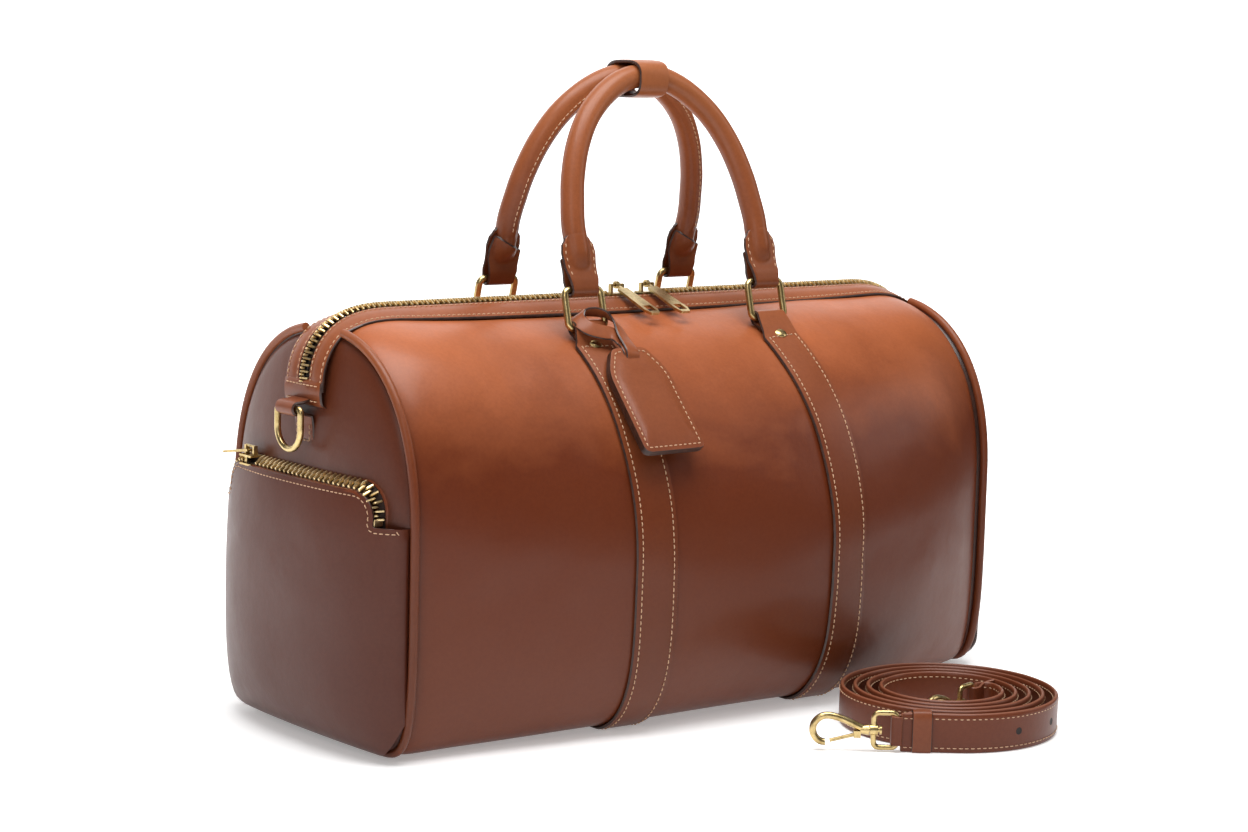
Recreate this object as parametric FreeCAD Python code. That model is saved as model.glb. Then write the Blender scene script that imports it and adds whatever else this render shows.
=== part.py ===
"""Leather travel duffel: stuffed body, zipped top, rolled handles, end pockets, tag and coiled shoulder strap.

Frame: origin at the middle of the base on the floor, +X towards the plain end, -X towards the zipped
end pocket, -Y to the front, +Z up. Millimetres.
"""
import FreeCAD, Part
import math
import os

V = FreeCAD.Vector

# Body
HALF_LENGTH = 250.0          # middle to either end seam
END_HALF_WIDTH = 101.5
STUFFING = 38.5              # how far the sides bulge past the ends at mid length
STUFFING_DRIFT = 0.075       # the bag is packed a little fuller towards +X
END_CREST_DROP = 4.4         # the side panels meet this far below the zip at the ends
GUSSET_PITCH = 6.3           # how much further the gusset's edges drop at mid length
GUSSET_EDGE_DROP = 2.4       # drop of the gusset's edges at the ends
GUSSET_THICK = 2.0
GUSSET_NEAR = 5.6            # inner edge of each gusset strip
LEATHER = 2.2
LINING = 0.8
LINING_INSET = 3.2
SEAM_GAP = 0.4
BASE_LIFT = 0.6              # the side panels turn in just above the base panel's underside
GUSSET_EDGE = 21.0           # half-width of the zip gusset
TAPE_EDGE = 8.5
TAPE_THICK = 0.8
CHAIN_SLOT = 1.6             # half the gap between the two tapes
ZIP_LEVEL = 276.5            # upper face of the gusset leather at the zip
ZIP_END_X = 267.0
ZIP_END_Z = 226.0
ZIP_TURN_X = 205.0           # where the gusset starts to curve down over the end
ZIP_POWER = 2.5              # squareness of that curve
DOME = 15.0                  # how far an end panel is pushed out at its middle
END_MIDDLE = 130.0
PIPING_RADIUS = 2.8
PIPING_LIFT = 3.0            # height of the cord's centre under the base

# Bands, rings and handles
BAND_X = 80.5
BAND_WIDTH = 30.0
BAND_THICK = 2.4
RING_WIRE = 2.4              # wire radius
RING_WIDTH = 30.4            # between wire centres
RING_HEIGHT = 26.0
RING_CORNER = 4.5
RING_Y = 53.0
RING_Z = 261.4
RING_LEAN = 14.0             # degrees inwards
LOOP_PLAY = 0.4
LOOP_WIDTH = 20.6
HANDLE_RADIUS = 8.0
HANDLE_CORE = 5.2
HANDLE_TOP_Z = 426.3
HANDLE_TOP_Y = 8.9
CHAPE_THICK = 5.2
CHAPE_OUTLINE = [(0, 10.6), (8, 11.8), (16, 12.8), (24, 13.6), (29, 13.0), (33, 10.5), (37, 7.5)]
KEEPER_HALF = 12.0           # half its length along the grips
KEEPER_THICK = 2.0

# Luggage tag
TAG_TOP = V(-67, -77, 249)
TAG_SLOPE = -49.0            # degrees below level, hanging forwards
TAG_SLOT_LONG = 13.0
TAG_SLOT_WIDE = 3.4
TAG_SLOT_DOWN = 8.8          # middle of the slot below the tag's top edge
THONG_HALF = 5.0

# End rings
END_RING_X = 277.5
END_RING_Z = 215.0
END_RING_HALF = 13.5
END_RING_DROP = 26.5
END_RING_WIRE = 2.1
END_RING_CORNER = 3.0
TAB_WIDTH = 19.0
TAB_PLATE = 25.0             # length of the tab's sewn plate below the ring bar

# Zip hardware
TOOTH_PITCH = 3.4
TOOTH_BOX = (1.3, 4.4, 2.3)
TOOTH_HEAD = 0.5
TOOTH_RISE = 0.35
CHAIN_DROP = 2.4             # middle of the teeth below the gusset's upper face
SLIDER_X = 13.5
PULL_LENGTH = 46.0
PULL_ANGLE = -20.5           # degrees below level, lying forwards
CROWN_Z = ZIP_LEVEL + 6.6
PIN_RISE = 4.1               # cross pin of a pull above its slider's origin

# Zipped end pocket, on the -X end
POCKET_DEPTH = 36.0
POCKET_HALF = 100.0
POCKET_TOP = 178.0
POCKET_STEP = 150.0
POCKET_ARCH = 84.0           # half-width of the zipped mouth
POCKET_ZIP_X = 271.0
POCKET_BEND = 20.0           # outer radius of the mouth's two corners
POCKET_SLIDER_Y = 56.0
POCKET_PULL_TILT = 9.0

# Strap
STRAP_WIDTH = 25.5
STRAP_THICK = 3.2
COIL_CENTRE = V(108.6, -210.1, 0)
COIL_RADIUS = 75.5
COIL_INNER = 37.5
LEAVE_ANGLE = 230.7          # bearing from the coil centre where the strap leaves its outer turn
INNER_ANGLE = -22.0          # bearing where the inner turn starts its bend
FULL_TURNS = 4
LEAVE = V(math.cos(math.radians(LEAVE_ANGLE)), math.sin(math.radians(LEAVE_ANGLE)), 0)
OUT_DIR = V(LEAVE.y, -LEAVE.x, 0)            # straight run of the strap to the outer hook
SWEEP = INNER_ANGLE + 360 - LEAVE_ANGLE + 360 * FULL_TURNS
OUTER_RUN = 36.0
BEND = 8.0
INNER_HEADING = 190.0


# ---- helpers ---------------------------------------------------------------------------------

def save(name, shape):
    shape.exportStep("parts/%s.step" % name)
    print("%-28s solids %2d  volume %10.1f  valid %s" % (name, len(shape.Solids), shape.Volume, shape.isValid()))


def group(shapes):
    return Part.makeCompound(shapes)


def smooth_edge(points):
    curve = Part.BSplineCurve()
    curve.interpolate(points)
    return curve.toShape()


def strip_wire(outer, inner):
    """Closed section of a sheet, from its outer points and the matching inner points."""
    edges = [smooth_edge(outer), Part.makeLine(outer[-1], inner[-1])]
    edges.append(smooth_edge(list(reversed(inner))))
    edges.append(Part.makeLine(inner[0], outer[0]))
    return Part.Wire(edges)


def polygon(points):
    return Part.makePolygon(points + [points[0]])


def loft(wires, ruled=False):
    return Part.makeLoft(wires, True, ruled)


def mirror_y(shape):
    return shape.mirror(V(0, 0, 0), V(0, 1, 0))


def mirror_x(shape):
    return shape.mirror(V(0, 0, 0), V(1, 0, 0))


def outline_wire(corners, radii):
    """Closed wire through the corner points, each corner rounded to its own radius."""
    arcs = []
    starts = []
    ends = []
    count = len(corners)
    for i, corner in enumerate(corners):
        before = corners[i - 1] - corner
        after = corners[(i + 1) % count] - corner
        turn = before.getAngle(after) / 2
        cut = radii[i] / math.tan(turn)
        a = corner + before.normalize() * cut
        b = corner + after.normalize() * cut
        middle = (before + after).normalize()
        centre = corner + middle * (radii[i] / math.sin(turn))
        arcs.append(Part.Arc(a, centre - middle * radii[i], b).toShape())
        starts.append(a)
        ends.append(b)
    edges = []
    for i in range(count):
        edges.append(arcs[i])
        edges.append(Part.makeLine(ends[i], starts[(i + 1) % count]))
    return Part.Wire(edges)


def rounded_polygon(corners, radius):
    return outline_wire(corners, [radius] * len(corners))


def pipe(path, radius):
    """Round bar along a path of edges."""
    first = path.Edges[0]
    start = first.valueAt(first.FirstParameter)
    tangent = first.tangentAt(first.FirstParameter)
    circle = Part.Wire([Part.makeCircle(radius, start, tangent)])
    return path.makePipeShell([circle], True, False)


# ---- body surface ------------------------------------------------------------------------------

def fullness(x):
    return max(0.0, 1 - (x / HALF_LENGTH) ** 2)


def half_width(x):
    return END_HALF_WIDTH + fullness(x) * (STUFFING + STUFFING_DRIFT * x)


def widest_height(x):
    return 140 - 35 * fullness(x)


def gusset_drop(x):
    """How far the gusset's outer edges hang below the zip: the top is peaked at mid length."""
    return GUSSET_EDGE_DROP + GUSSET_PITCH * math.sqrt(fullness(x))


def crest(x):
    """Height at which the two side panels would meet, following the zip down over the ends."""
    share = max(0.0, abs(x) - ZIP_TURN_X) / (ZIP_END_X - ZIP_TURN_X)
    zip_height = ZIP_END_Z + (ZIP_LEVEL - ZIP_END_Z) * (1 - share ** ZIP_POWER) ** (1 / ZIP_POWER)
    return zip_height - END_CREST_DROP - GUSSET_PITCH * 0.72 * math.sqrt(fullness(x))


def body_point(x, angle):
    """Point on the front half of the section at x: -90 is the base seam, 0 the widest, 90 the crest."""
    c = math.cos(math.radians(angle))
    s = abs(math.sin(math.radians(angle)))
    wide = half_width(x)
    level = widest_height(x)
    if angle >= 0:
        power = 2.3 - 0.4 * fullness(x)
        reach = (c ** power + s ** power) ** (-1 / power)
        return V(x, -wide * reach * c, level + (crest(x) - level) * reach * s)
    power = 5 - 2.5 * fullness(x)
    reach = (c ** power + s ** power) ** (-1 / power)
    foot = base_half(x)
    return V(x, -foot - (wide - foot) * reach * c, BASE_LIFT + (level - BASE_LIFT) * (1 - reach * s))


def base_half(x):
    return 0.55 * half_width(x)


def inset_point(x, angle, inset):
    step = 0.5
    ahead = body_point(x, min(angle + step, 90))
    behind = body_point(x, max(angle - step, -90))
    along = (ahead - behind).normalize()
    normal = V(0, -along.z, along.y)
    return body_point(x, angle) - normal * inset


def crest_angle(x, edge):
    """Section angle at which the surface is the given distance from the middle plane."""
    low, high = 45.0, 89.9
    for _ in range(30):
        middle = (low + high) / 2
        if -body_point(x, middle).y > edge:
            low = middle
        else:
            high = middle
    return low


def sheet(stations, low, high, outer, inner, count=11):
    """Sheet over the front surface between two section angles, insets measured inwards."""
    wires = []
    for x in stations:
        top = high(x)
        angles = [low + (top - low) * i / (count - 1) for i in range(count)]
        wires.append(strip_wire([inset_point(x, a, outer) for a in angles],
                                [inset_point(x, a, inner) for a in angles]))
    return loft(wires)


def body_stations(end=HALF_LENGTH - 1.0):
    """Section positions, closer together where the top curves down at the ends."""
    right = [share * end for share in (0.25, 0.5, 0.7, 0.83, 0.9, 0.96, 1.0)]
    return [-x for x in reversed(right)] + [0.0] + right


def side_panel():
    return sheet(body_stations(), -89, lambda x: crest_angle(x, GUSSET_EDGE - 3), 0, LEATHER)


def side_lining():
    return sheet(body_stations(HALF_LENGTH - 6), -80, lambda x: crest_angle(x, GUSSET_EDGE - 1),
                 LINING_INSET, LINING_INSET + LINING)


def base_plate(end, low, high, margin):
    """Flat sheet under the body, following the base seam less a margin."""
    xs = body_stations(end)
    front = [V(x, -(base_half(x) - margin), low) for x in xs]
    rear = [V(x, base_half(x) - margin, low) for x in reversed(xs)]
    edges = [smooth_edge(front), Part.makeLine(front[-1], rear[0])]
    edges += [smooth_edge(rear), Part.makeLine(rear[-1], front[0])]
    return Part.Face(Part.Wire(edges)).extrude(V(0, 0, high - low))


def end_outline(x, shrink, scale):
    """Closed outline of an end panel at x, drawn in by a distance and scaled about the panel's middle."""
    angles = [-88 + i * 11.0 for i in range(16)] + [82]
    front = [inset_point(HALF_LENGTH, a, shrink) for a in angles]
    front = [V(x, p.y * scale, END_MIDDLE + (p.z - END_MIDDLE) * scale) for p in front]
    rear = [V(x, -p.y, p.z) for p in reversed(front)]
    edges = [smooth_edge(front), Part.makeLine(front[-1], rear[0])]
    edges += [smooth_edge(rear), Part.makeLine(rear[-1], front[0])]
    return Part.Wire(edges)


def end_dome(push, shrink, start):
    """Solid cap from the seam plane out to a pushed-out middle."""
    wires = [end_outline(start, shrink, 1.0)]
    for share in (0.3, 0.6, 0.85, 1.0):
        out = HALF_LENGTH + push * math.sin(math.radians(90 * share))
        wires.append(end_outline(out, shrink, 1 - 0.62 * share ** 2.2))
    return loft(wires)


def end_panel():
    outer = end_dome(DOME, 1.2, HALF_LENGTH - 0.6)
    inner = end_dome(DOME - LEATHER, 1.2 + LEATHER, HALF_LENGTH - 1.6)
    return outer.cut(inner)


def piping():
    """Covered cord sewn into the seam round an end panel, open under the gusset."""
    high = crest(HALF_LENGTH)
    grow_y = (END_HALF_WIDTH + 2.0) / END_HALF_WIDTH
    grow_z = (high + 1.4 - PIPING_LIFT) / high
    front = [body_point(HALF_LENGTH, -90 + i * 10.4) for i in range(17)]
    front = [V(HALF_LENGTH + 3.0, p.y * grow_y, PIPING_LIFT + p.z * grow_z) for p in front]
    rear = [V(p.x, -p.y, p.z) for p in front]
    foot = [V(HALF_LENGTH + 3.0, y, PIPING_LIFT) for y in (-30, 0, 30)]
    return pipe(Part.Wire([smooth_edge(list(reversed(front)) + foot + rear)]), PIPING_RADIUS)


# ---- top zip -------------------------------------------------------------------------------------

def zip_path(drop, count=9):
    """Right half of the zip line in the XZ plane, as points with outward normals."""
    rise = ZIP_LEVEL - ZIP_END_Z
    run = ZIP_END_X - ZIP_TURN_X
    power = ZIP_POWER
    found = [(V(i * ZIP_TURN_X / 4, 0, ZIP_LEVEL), V(0, 0, 1)) for i in range(4)]
    for i in range(count):
        a = math.radians(90 * i / (count - 1))
        c, s = math.cos(a), math.sin(a)
        reach = (c ** power + s ** power) ** (-1 / power)
        x = run * reach * s
        z = rise * reach * c
        normal = V((x / run) ** (power - 1) / run, 0, (z / rise) ** (power - 1) / rise)
        found.append((V(ZIP_TURN_X + x, 0, ZIP_END_Z + z), normal.normalize()))
    return [(p - n * drop, n) for p, n in found]


def zip_strip(near, far, drop, slope, thick):
    """Strip beside the zip, from y=near to y=far, following the zip over both ends."""
    right = zip_path(drop)
    whole = [(V(-p.x, 0, p.z), V(-n.x, 0, n.z)) for p, n in reversed(right[1:])] + right
    wires = []
    for p, n in whole:
        fall = slope * gusset_drop(p.x) * max(0.0, n.z)
        a = p
        b = p - n * fall
        wires.append(polygon([V(a.x, -near, a.z), V(b.x, -far, b.z),
                              V(b.x, -far, b.z) - n * thick, V(a.x, -near, a.z) - n * thick]))
    return loft(wires)


def zip_teeth():
    """Interlocking brass teeth on both tape edges, left out inside the two sliders."""
    edge = smooth_edge([p for p, n in zip_path(CHAIN_DROP, 13)])
    total = edge.Length
    pieces = []
    count = int((total - 14) / (TOOTH_PITCH / 2))
    for i in range(count):
        reach = 3 + i * TOOTH_PITCH / 2
        at = edge.getParameterByLength(reach)
        p = edge.valueAt(at)
        if abs(p.x - SLIDER_X) < 8.5 or p.x < SLIDER_X:
            continue
        t = edge.tangentAt(at)
        side = 1 if i % 2 else -1
        low = TOOTH_BOX[2] / 2 - TOOTH_RISE
        near = -TOOTH_HEAD if side > 0 else TOOTH_HEAD - TOOTH_BOX[1]
        tooth = Part.makeBox(*TOOTH_BOX, V(-TOOTH_BOX[0] / 2, near, -low))
        turn = FreeCAD.Rotation(V(1, 0, 0), t)
        tooth.Placement = FreeCAD.Placement(p, turn)
        pieces.append(tooth)
    return group(pieces + [mirror_x(s) for s in pieces])


def zip_end_cap():
    """Folded leather end that closes the gusset on the end panel."""
    foot = V(ZIP_END_X + 0.4, -GUSSET_EDGE, ZIP_END_Z - 9)
    return Part.makeBox(3.2, 2 * GUSSET_EDGE, 8.4, V(ZIP_END_X - 2.6, foot.y, foot.z))


def slider_body():
    """Zip slider at its own origin: lower plate, post, upper plate and the crown along X."""
    lower = Part.makeBox(14, 9, 1.2, V(-7, -4.5, -5.7))
    post = Part.makeBox(3, 2, 4.8, V(3.5, -1, -4.6))
    upper = Part.makeBox(14, 9.4, 1.4, V(-7, -4.7, -0.1))
    foot_a = Part.makeBox(1.8, 3, 6.0, V(-5.8, -1.5, 1.2))
    foot_b = Part.makeBox(1.8, 3, 6.0, V(4.0, -1.5, 1.2))
    bar = Part.makeCylinder(0.9, 11.6, V(-5.8, 0, CROWN_Z - ZIP_LEVEL), V(1, 0, 0))
    return lower.fuse([post, upper, foot_a, foot_b, bar]).removeSplitter()


def pull_body(length, width):
    """Pull at its own origin: eye round the crown bar, neck, and a plate with a window near its end."""
    eye = Part.makeCylinder(2.6, 2.4, V(-1.2, 0, 0), V(1, 0, 0))
    eye = eye.cut(Part.makeCylinder(1.35, 4, V(-2, 0, 0), V(1, 0, 0)))
    neck = Part.makeBox(2.4, 5.5, 1.6, V(-1.2, -7.4, -0.8))
    half = width / 2
    outline = [V(-half + 1.5, -6.5, -0.9), V(half - 1.5, -6.5, -0.9), V(half, -length + 6, -0.9)]
    outline += [V(half - 2.2, -length, -0.9), V(-half + 2.2, -length, -0.9), V(-half, -length + 6, -0.9)]
    plate = Part.Face(rounded_polygon(outline, 1.0)).extrude(V(0, 0, 1.8))
    window = Part.makeBox(width - 5, 8, 4, V(-(width - 5) / 2, -length + 3.2, -2))
    return eye.fuse([neck, plate.cut(window)]).removeSplitter()


def pin_pull(length, width):
    """Pull whose cross pin runs under the crown: pin along X at the origin, plate towards -Y."""
    pin = Part.makeCylinder(0.8, 7.2, V(-3.6, 0, 0), V(1, 0, 0))
    arms = [Part.makeBox(1.2, 10.6, 1.6, V(x, -9.8, -0.8)) for x in (-3.6, 2.4)]
    half = width / 2
    outline = [V(-3.6, -9, -0.8), V(3.6, -9, -0.8), V(half, -14, -0.8), V(half, -length, -0.8)]
    outline += [V(-half, -length, -0.8), V(-half, -14, -0.8)]
    plate = Part.Face(rounded_polygon(outline, 1.0)).extrude(V(0, 0, 1.6))
    return pin.fuse(arms + [plate]).removeSplitter()


def main_slider():
    body = slider_body()
    body.translate(V(SLIDER_X, 0, ZIP_LEVEL))
    return body


def main_pull():
    body = pull_body(PULL_LENGTH, 11.5)
    body.rotate(V(0, 0, 0), V(1, 0, 0), -PULL_ANGLE)
    body.translate(V(SLIDER_X, 0, CROWN_Z))
    return body


# ---- bands, rings, handles -------------------------------------------------------------------------

def surface_angle(x, z):
    """Upper section angle at which the surface reaches a height."""
    low, high = 0.0, 89.0
    for _ in range(30):
        middle = (low + high) / 2
        if body_point(x, middle).z < z:
            low = middle
        else:
            high = middle
    return low


def band_side(x):
    """Front run of a band, from the base seam up to the ring."""
    top = surface_angle(x, RING_Z - 8)
    stations = [x - BAND_WIDTH / 2, x - BAND_WIDTH / 4, x, x + BAND_WIDTH / 4, x + BAND_WIDTH / 2]
    return sheet(stations, -66, lambda s: top, -0.3 - BAND_THICK, -0.3, 9)


def ring_loop(x):
    """Leather folded round the lower bar of a ring and run down the slope under the rivet."""
    bar = V(x, -RING_Y, RING_Z)
    inner = RING_WIRE + LOOP_PLAY
    outer = inner + LEATHER
    start = V(x - LOOP_WIDTH / 2, bar.y, bar.z)
    eye = Part.makeCylinder(outer, LOOP_WIDTH, start, V(1, 0, 0))
    down = inset_point(x, surface_angle(x, RING_Z - 14), -5.2)
    slope = V(0, down.y - bar.y, down.z - bar.z)
    leg = Part.makeBox(LOOP_WIDTH, slope.Length, 2 * LEATHER, V(0, 0, -LEATHER))
    tilt = math.degrees(math.atan2(slope.z, slope.y))
    leg.rotate(V(0, 0, 0), V(1, 0, 0), tilt)
    leg.translate(start)
    hole = Part.makeCylinder(inner, LOOP_WIDTH + 2, start - V(1, 0, 0), V(1, 0, 0))
    return eye.fuse(leg).cut(hole).removeSplitter()


def rivet(x):
    seat = surface_angle(x, RING_Z - 13)
    foot = inset_point(x, seat, -6.2)
    tip = inset_point(x, seat, -9.4)
    along = tip - foot
    head = Part.makeCylinder(5.0, 1.2, foot, along)
    crown = Part.makeCone(5.0, 3.0, 1.3, foot + along.normalize() * 1.2, along)
    return head.fuse(crown).removeSplitter()


def ring_frame():
    """Ring at its own origin: lower bar along X through the origin, ring standing along +Z."""
    half = RING_WIDTH / 2
    corners = [V(-half, 0, 0), V(half, 0, 0), V(half, 0, RING_HEIGHT), V(-half, 0, RING_HEIGHT)]
    return pipe(rounded_polygon(corners, RING_CORNER), RING_WIRE)


def lean(shape, x):
    """Stand a part made at its own origin on the front ring bar at x."""
    shape.rotate(V(0, 0, 0), V(1, 0, 0), -RING_LEAN)
    shape.translate(V(x, -RING_Y, RING_Z))
    return shape


def ring_top(x):
    rise = math.radians(RING_LEAN)
    return V(x, -RING_Y + RING_HEIGHT * math.sin(rise), RING_Z + RING_HEIGHT * math.cos(rise))


def handle_plane(points):
    """Points given as (x, height up the handle), placed in the leaning plane of the front handle."""
    foot = ring_top(0)
    top = V(0, -HANDLE_TOP_Y, HANDLE_TOP_Z)
    up = (top - foot)
    reach = up.Length
    up.normalize()
    return [V(x, foot.y + up.y * h * reach, foot.z + up.z * h * reach) for x, h in points]


def handle_path():
    half = [(BAND_X, 0.30), (78.5, 0.40), (75, 0.52), (67, 0.67), (54, 0.81), (36, 0.92), (17, 0.985)]
    points = half + [(0, 1.0)] + [(-x, h) for x, h in reversed(half)]
    return Part.Wire([smooth_edge(handle_plane(points))])


def chape(x):
    """Flat end of a handle: shaped tab with a fold round the upper bar of its ring."""
    foot = ring_top(x)
    lift = handle_plane([(x, 1.0)])[0] - handle_plane([(x, 0.0)])[0]
    lift.normalize()
    tilt = 90 - math.degrees(math.atan2(lift.z, lift.y))
    inner = RING_WIRE + LOOP_PLAY
    outer = inner + LEATHER
    eye = Part.makeCylinder(outer, LOOP_WIDTH, V(-LOOP_WIDTH / 2, 0, 0), V(1, 0, 0))
    right = [V(w, 0, h) for h, w in CHAPE_OUTLINE]
    left = [V(-w, 0, h) for h, w in reversed(CHAPE_OUTLINE)]
    edges = [smooth_edge(right), Part.makeLine(right[-1], left[0])]
    edges += [smooth_edge(left), Part.makeLine(left[-1], right[0])]
    plate = Part.Face(Part.Wire(edges)).extrude(V(0, CHAPE_THICK, 0))
    plate.translate(V(0, -CHAPE_THICK / 2, 0))
    hole = Part.makeCylinder(inner, 40, V(-20, 0, 0), V(1, 0, 0))
    tab = eye.fuse(plate).cut(hole)
    tab.rotate(V(0, 0, 0), V(1, 0, 0), -tilt)
    tab.translate(foot)
    return tab


def handle_cover():
    path = handle_path()
    roll = pipe(path, HANDLE_RADIUS)
    roll = roll.fuse([chape(BAND_X), chape(-BAND_X)])
    return roll.cut(pipe(path, HANDLE_CORE + 0.2)).removeSplitter()


def handle_core():
    return pipe(handle_path(), HANDLE_CORE)


def keeper():
    """Snap-over leather keeper that holds the two grips together."""
    wide = HANDLE_TOP_Y + HANDLE_RADIUS + 0.5
    top = HANDLE_TOP_Z + HANDLE_RADIUS + 0.4
    bottom = HANDLE_TOP_Z - HANDLE_RADIUS - 4.5
    end = -KEEPER_HALF

    def tube(grow, radius):
        corners = [V(end, -wide - grow, bottom - grow), V(end, wide + grow, bottom - grow)]
        corners += [V(end, wide + grow, top + grow), V(end, -wide - grow, top + grow)]
        return Part.Face(rounded_polygon(corners, radius)).extrude(V(2 * KEEPER_HALF, 0, 0))

    return tube(KEEPER_THICK, 6.0 + KEEPER_THICK).cut(tube(0, 6.0))


# ---- luggage tag -------------------------------------------------------------------------------------

def tag_layer(low, high, shrink):
    """One layer of the tag at its own origin: hanging along -Y, thickness along Z."""
    s = shrink
    outline = [V(-14 + s, -s, low), V(14 - s, -s, low), V(25 - s, -19, low), V(25.5 - s, -81 + s, low)]
    outline += [V(-25.5 + s, -81 + s, low), V(-25 + s, -19, low)]
    return Part.Face(rounded_polygon(outline, 4.0)).extrude(V(0, 0, high - low))


def place_tag(shape):
    shape.rotate(V(0, 0, 0), V(1, 0, 0), -TAG_SLOPE)
    shape.translate(TAG_TOP)
    return shape


def tag_slot():
    return Part.makeBox(TAG_SLOT_LONG, TAG_SLOT_WIDE, 12,
                        V(-TAG_SLOT_LONG / 2, -TAG_SLOT_DOWN - TAG_SLOT_WIDE / 2, -6))


def tag_front():
    return place_tag(tag_layer(0.6, 2.4, 0).cut(tag_slot()))


def tag_back():
    return place_tag(tag_layer(-2.2, -0.4, 0).cut(tag_slot()))


def tag_card():
    card = Part.makeBox(42, 54, 0.6, V(-21, -77, -0.2))
    return place_tag(card)


def tag_thong():
    """Strap of the tag, looped through the front ring at -X and down through the tag's slot."""
    ring = ring_top(-BAND_X)
    tilt = math.radians(TAG_SLOPE)
    down = V(0, -math.cos(tilt), math.sin(tilt))
    out = V(0, math.sin(tilt), math.cos(tilt))
    slot = TAG_TOP + down * TAG_SLOT_DOWN
    high = V(0, (ring.y - RING_Y) / 2, (ring.z + RING_Z) / 2)
    centre = [V(-78, high.y + 6, high.z + 1), V(-78, high.y, high.z + 1.5), V(-77, high.y - 8, high.z + 1)]
    centre += [V(-70, high.y - 20, high.z - 8), slot + out * 7.0, slot + out * 4.0, slot - out * 3.4]
    wires = []
    last = len(centre) - 1
    for i, p in enumerate(centre):
        ahead = centre[min(i + 1, last)] - centre[max(i - 1, 0)]
        ahead = V(0, ahead.y, ahead.z).normalize()
        if i > last - 2:
            ahead = out * -1
        up = V(0, ahead.z, -ahead.y)
        side = V(THONG_HALF, 0, 0)
        wires.append(polygon([p + side + up, p - side + up, p - side - up, p + side - up]))
    return loft(wires, True)


# ---- end rings ----------------------------------------------------------------------------------------

def end_ring():
    """D-ring hanging from the +X end: straight bar on top along Y, bow below."""
    half = END_RING_HALF
    side = END_RING_Z - END_RING_DROP + half

    def at(y, z):
        return V(END_RING_X, y, z)

    corner = END_RING_CORNER
    near = corner * (1 - math.sqrt(0.5))
    edges = [Part.makeLine(at(0, END_RING_Z), at(half - corner, END_RING_Z))]
    edges.append(Part.Arc(at(half - corner, END_RING_Z), at(half - near, END_RING_Z - near),
                          at(half, END_RING_Z - corner)).toShape())
    edges.append(Part.makeLine(at(half, END_RING_Z - corner), at(half, side)))
    edges.append(Part.Arc(at(half, side), at(0, side - half), at(-half, side)).toShape())
    edges.append(Part.makeLine(at(-half, side), at(-half, END_RING_Z - corner)))
    edges.append(Part.Arc(at(-half, END_RING_Z - corner), at(near - half, END_RING_Z - near),
                          at(corner - half, END_RING_Z)).toShape())
    edges.append(Part.makeLine(at(corner - half, END_RING_Z), at(0, END_RING_Z)))
    return pipe(Part.Wire(edges), END_RING_WIRE)


def end_tab():
    """Leather fold that carries the D-ring, sewn to the end panel below the gusset end."""
    inner = END_RING_WIRE + LOOP_PLAY
    outer = inner + LEATHER
    half = TAB_WIDTH / 2
    eye = Part.makeCylinder(outer, TAB_WIDTH, V(END_RING_X, -half, END_RING_Z), V(0, 1, 0))
    root = V(ZIP_END_X - 1.4, -half, END_RING_Z - LEATHER)
    back = Part.makeBox(END_RING_X - root.x, TAB_WIDTH, 2 * LEATHER, root)
    plate = Part.makeBox(LEATHER, TAB_WIDTH, TAB_PLATE + 1, V(ZIP_END_X - 2.6, -half, END_RING_Z - TAB_PLATE))
    hole = Part.makeCylinder(inner, TAB_WIDTH + 2, V(END_RING_X, -half - 1, END_RING_Z), V(0, 1, 0))
    return eye.fuse([back, plate]).cut(hole).removeSplitter()


# ---- zipped end pocket ---------------------------------------------------------------------------------

def pocket_outline(x, inset, half):
    """Pocket outline at x: rounded foot, step at each side, arched zipped mouth."""
    arch = min(POCKET_ARCH, half - 8) - inset
    top = POCKET_TOP - inset
    step = POCKET_STEP - inset
    foot = 4 + inset
    wide = half - inset
    corners = [V(x, -wide, foot), V(x, wide, foot), V(x, wide, step), V(x, arch, step), V(x, arch, top)]
    corners += [V(x, -arch, top), V(x, -arch, step), V(x, -wide, step)]
    bend = POCKET_BEND - inset
    radii = [24 - inset, 24 - inset, 2.0, 2.0, bend, bend, 2.0, 2.0]
    return corners, radii


def pocket_block(inset, near, far):
    first = outline_wire(*pocket_outline(-near, inset, POCKET_HALF))
    last = outline_wire(*pocket_outline(-far, inset + 2, POCKET_HALF - 9))
    return loft([first, last], True)


def pocket_panel():
    """Outer leather of the pocket: face, side walls and foot, open where the zip runs."""
    far = HALF_LENGTH + POCKET_DEPTH
    near = HALF_LENGTH + 6.5
    shell = pocket_block(0, near, far).cut(pocket_block(LEATHER, near - 2, far - LEATHER))
    mouth = Part.makeBox(POCKET_ZIP_X + 8 - near + 1, 2 * POCKET_ARCH + 6, 60,
                         V(-(POCKET_ZIP_X + 8), -POCKET_ARCH - 3, POCKET_STEP + 0.4))
    return shell.cut(mouth)


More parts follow.
